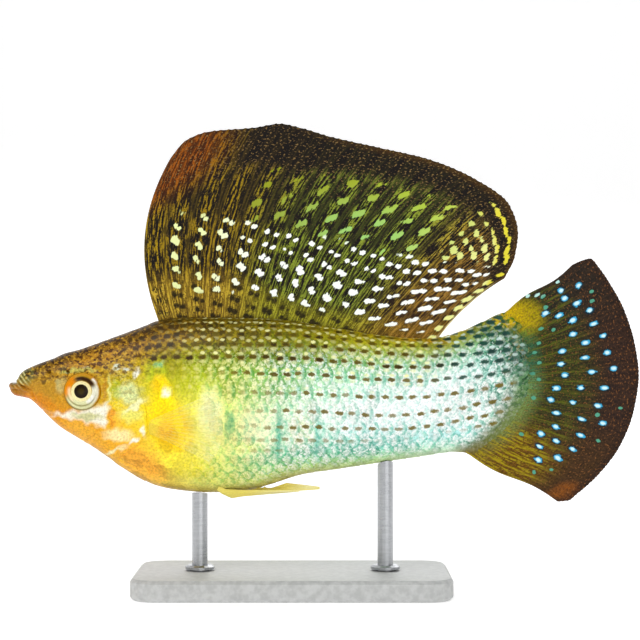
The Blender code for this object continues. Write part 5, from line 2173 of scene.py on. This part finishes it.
@dataclass(frozen=True)
class Eye:
    """An eye: dark pupil, pale rings and a clear wet bulge."""

    side: float
    word: str
    centre: tuple[float, float, float] = (-45.4, 4.4, 38.3)
    radius: float = 3.72
    bulge: float = 2.0
    pupil: float = 1.32
    pupil_shift: Pair = (-0.2, 0.1)
    ring: float = 1.9
    iris: float = 2.5
    around: int = 128

    def build(self) -> bpy.types.Object:
        """Builds the eye.

        Returns:
            The piece.
        """
        edges = [0.0, *np.linspace(0.4, self.radius, 28)]
        for border in (self.pupil, self.ring, self.iris):
            edges += [border - 0.05, border - 0.02, border + 0.02, border + 0.05]
        ring = np.array(sorted(edges[1:]))[:, None] * np.ones(self.around)
        turn = 2.0 * math.pi * np.arange(self.around) / self.around * np.ones((len(ring), 1))
        inward = ease(ring, self.radius, self.iris)
        x = self.centre[0] + ring * np.cos(turn) + self.pupil_shift[0] * inward
        z = self.centre[2] + ring * np.sin(turn) + self.pupil_shift[1] * inward
        level = np.sqrt(np.maximum(1.0 - (ring / (self.radius + 0.02)) ** 2.4, 0.0))
        height = self.bulge * level ** 0.8 - 0.1 * bell(ring - self.iris, 0.12) + 0.1 * ease(ring, 1.9, 1.3)
        y = self.side * (self.centre[1] + height)
        points = joined(x, y, z)
        colour = self.colours(ring, turn)
        flat = joined(ring, turn * 3.0 + (60.0 if self.side < 0 else 0.0), np.zeros_like(ring))
        span = np.linspace(0.0, 1.0, self.around + 1)
        radii = 0.03 + 0.46 * ring[:, :1] / self.radius
        maps = joined(
            0.5 + radii * np.cos(2 * math.pi * span), 0.5 + radii * np.sin(2 * math.pi * span)
        )
        draft = MeshDraft()
        values = {"paint": four(colour), "flat": flat}
        first = draft.add_grid(points, maps, values, wrap=True, flip=self.side > 0)
        hub_place = (
            self.centre[0] + self.pupil_shift[0], self.side * (self.centre[1] + self.bulge + 0.1),
            self.centre[2] + self.pupil_shift[1],
        )
        hub = draft.add_points(np.array([hub_place]), {key: part[:1, 0] for key, part in values.items()})
        inner = first + np.arange(self.around)
        corners = np.stack([inner, np.roll(inner, -1), np.full(self.around, hub)], axis=1)
        places = np.stack([maps[0, :-1], maps[0, 1:], np.full((self.around, 2), 0.5)], axis=1)
        if self.side > 0:
            corners, places = corners[:, [1, 0, 2]], places[:, [1, 0, 2]]
        draft.add_faces(corners, places)
        piece = draft.piece("eye_ball_" + self.word, EyeFinish("molly_eye_" + self.word).material())
        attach(piece, "root")
        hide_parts("eye_" + self.word)
        return piece

    def colours(self, ring: Array, turn: Array) -> Array:
        """Gives the eye's rings and crescents, a painted glint, and a painted reflection in the pupil's
        lighter middle.

        Args:
            ring: distance from the middle.
            turn: angle round it, from the tail side up.

        Returns:
            Linear colours.
        """

        def arc(middle: float, reach: float) -> Array:
            """Gives a soft stretch of the turn round an angle in degrees."""
            away = np.abs((np.degrees(turn) - middle + 180.0) % 360.0 - 180.0)
            return ease(away, reach, reach * 0.5)

        lines = np.maximum(bell(ring - 2.72, 0.14), bell(ring - 3.4, 0.13))
        # Painted reflection: the pupil is painted lighter towards its middle.
        pupil = layered(tone((30, 16, 0)), ((60, 48, 6), ease(ring, 0.9, 0.2)))
        colour = layered(
            tone((196, 150, 30)),
            ((222, 222, 170), arc(276.0, 100.0)),
            ((244, 244, 222), arc(350.0, 50.0) * ease(ring, 1.95, 2.1) * ease(ring, 3.3, 3.0)),
            ((116, 106, 34), arc(262.0, 112.0) * lines * 0.85),
            ((232, 138, 0), arc(156.0, 52.0) * ease(ring, 1.95, 2.15) * ease(ring, 3.72, 3.2)),
            ((250, 226, 176), arc(196.0, 44.0) * bell(ring - 2.3, 0.34) * 0.9),
            ((58, 32, 6), arc(70.0, 66.0) * ease(ring, 1.92, 2.05) * ease(ring, 3.0, 2.6)),
            ((214, 150, 40), arc(84.0, 50.0) * bell(ring - 3.25, 0.22) * 0.9),
            # Painted highlight: a white glint on the rim at the upper rear of the eye.
            ((255, 255, 246), arc(40.0, 15.0) * bell(ring - 3.05, 0.2)),
            ((255, 255, 250), arc(318.0, 30.0) * bell(ring - 2.3, 0.3) * 0.9),
            ((196, 148, 8), arc(350.0, 56.0) * ease(ring, 3.0, 3.3)),
            ((150, 104, 6), arc(262.0, 120.0) * ease(ring, 3.4, 3.6)),
            ((176, 126, 16), arc(90.0, 100.0) * ease(ring, 3.45, 3.65)),
            ((246, 232, 170), ease(ring, self.ring + 0.1, self.ring - 0.08)),
        )
        return blend(colour, pupil, ease(ring, self.pupil + 0.04, self.pupil - 0.03))


@dataclass(frozen=True)
class Stand:
    """Finishes of the display stand's own solids."""

    base: StandFinish = StandFinish(
        "stand_base_grey", (176, 177, 176), (196, 197, 196), 0.5, 0.0, (900.0, 900.0, 900.0)
    )
    rod: StandFinish = StandFinish(
        "stand_rod_steel", (168, 170, 173), (186, 188, 191), 0.3, 1.0, (300.0, 300.0, 2600.0)
    )

    def dress(self) -> None:
        """Gives the base and both rods their finishes."""
        steel = self.rod.material()
        finishes = {"stand_base": self.base.material(), "stand_rod_front": steel, "stand_rod_rear": steel}
        for node, material in finishes.items():
            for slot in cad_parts[node].material_slots:
                slot.material = material
            LOG.info("dressed %s", node)


@dataclass(frozen=True)
class Studio:
    """Pale floor, soft light and the camera."""

    view_width: float = 122.24
    view_centre: Pair = (-0.76, 51.8)
    lens: float = 110.0
    sensor: float = 36.0

    def build(self) -> None:
        """Sets up floor, light and camera."""
        self.add_floor()
        self.add_lights()
        self.add_camera()
        bpy.context.scene.view_settings.view_transform = "Standard"

    def add_floor(self) -> None:
        """Adds a floor that sweeps up behind the fish."""
        sweep = [(-1.6, 0.0), (0.5, 0.0)]
        for step in range(1, 13):
            turn = math.radians(90.0 * step / 12)
            sweep.append((0.5 + 0.6 * math.sin(turn), 0.6 - 0.6 * math.cos(turn)))
        sweep.append((1.1, 2.4))
        points = [(x, y, z) for y, z in sweep for x in (-2.5, 2.5)]
        faces = [(2 * i, 2 * i + 1, 2 * i + 3, 2 * i + 2) for i in range(len(sweep) - 1)]
        mesh = bpy.data.meshes.new("studio_floor")
        mesh.from_pydata(points, [], faces)
        mesh.shade_smooth()
        floor = bpy.data.objects.new("studio_floor", mesh)
        bpy.context.scene.collection.objects.link(floor)
        sheet = NodeSheet("studio_white")
        sheet.set(Base_Color=(0.9, 0.9, 0.9, 1.0), Roughness=0.9)
        sheet.set(Emission_Color=(1.0, 1.0, 1.0, 1.0), Emission_Strength=0.4)
        mesh.materials.append(sheet.material)

    def add_lights(self) -> None:
        """Adds the white surroundings and three soft lamps."""
        world = bpy.data.worlds.new("studio_world")
        world.use_nodes = True
        world.node_tree.nodes["Background"].inputs[0].default_value = (1.0, 1.0, 1.0, 1.0)
        world.node_tree.nodes["Background"].inputs[1].default_value = 0.42
        bpy.context.scene.world = world
        lamps = (
            ("key", (-0.35, -0.55, 0.6), 0.45, 2.6),
            ("fill", (0.2, -0.75, 0.04), 0.5, 1.4),
            ("back", (0.1, 0.6, 0.5), 0.5, 1.6),
        )
        for name, place, size, power in lamps:
            lamp = bpy.data.lights.new(name, "AREA")
            lamp.size = size
            lamp.energy = power
            holder = bpy.data.objects.new(name, lamp)
            bpy.context.scene.collection.objects.link(holder)
            holder.location = place
            aim = Vector((0.0, 0.0, 0.045)) - Vector(place)
            holder.rotation_euler = aim.to_track_quat("-Z", "Y").to_euler()

    def add_camera(self) -> None:
        """Adds the camera, level and square to the fish's left side."""
        camera = bpy.data.cameras.new("camera")
        camera.lens = self.lens
        camera.sensor_width = self.sensor
        holder = bpy.data.objects.new("camera", camera)
        bpy.context.scene.collection.objects.link(holder)
        distance = self.view_width * self.lens / self.sensor
        x, z = self.view_centre
        holder.location = (x * MM, -distance * MM, z * MM)
        holder.rotation_euler = (math.radians(90.0), 0.0, 0.0)
        camera.clip_start = 0.01
        bpy.context.scene.camera = holder


def make_fins(shape: BodyShape, paint: BodyPaint) -> list[RayedFin]:
    """Gives every fin of the fish.

    Args:
        shape: the body that they grow from.
        paint: the body's colours, which run on into the tail fin.

    Returns:
        The fins, not yet built.
    """
    fins: list[RayedFin] = [
        SailFin(
            "dorsal_sail", "dorsal_fin", "dorsal_fin", FinFinish("sail_spotted"), rays=18, shape=shape,
            columns=15, rows=150, root_row=-0.04, root_half=0.75, fade=0.1,
        ),
        TailFin(
            "tail_fan", "tail_fin", "tail_fin", FinFinish("tail_fan_brown", fleck=(140, 88, 44)),
            rays=21, shape=shape, paint=paint, columns=16, root_half=0.95, fade=0.3,
        ),
        Gonopodium(
            "gonopodium_rod", "gonopodium", "clear_fin", FinFinish("gonopodium_gold", grit=0.3), rays=4,
            shape=shape, rows=40, root_row=-0.08, ray_root=0.45, ray_tip=0.24, ray_width=0.24,
            root_half=0.5, fade=0.5,
        ),
    ]
    for side, word in ((-1.0, "left"), (1.0, "right")):
        fins.append(PectoralFin(
            "pectoral_" + word, "pectoral_fin_" + word, "clear_fin",
            FinFinish("pectoral_clear_" + word, grit=0.3, clear=0.94), rays=12, shape=shape, side=side,
            rows=60, web=0.06, ray_root=0.22, ray_tip=0.1,
        ))
        fins.append(PelvicFin(
            "pelvic_" + word, "pelvic_fin_" + word, "clear_fin",
            FinFinish("pelvic_pale_" + word, grit=0.3), rays=6, shape=shape, side=side,
            rows=50, web=0.08, ray_root=0.3, ray_tip=0.12,
        ))
    return fins


def main() -> None:
    """Builds the dressed fish on its stand, piece by piece."""
    logging.basicConfig(level=logging.INFO, format="%(name)s: %(message)s")
    shape = BodyShape()
    paint = BodyPaint(shape)
    relief = HeadRelief(shape)
    flank = FlankMap(shape)
    makers = [Skin(shape, paint, relief)]
    for side, word in ((-1.0, "left"), (1.0, "right")):
        makers.append(ScaleCoat(shape, flank, paint, relief, side, word))
        makers.append(Eye(side, word))
    makers += make_fins(shape, paint)
    for maker in makers:
        piece = maker.build()
        LOG.info("built %s with %d faces", piece.name, len(piece.data.polygons))
    Stand().dress()
    Studio().build()


if __name__ == "__main__":
    main()
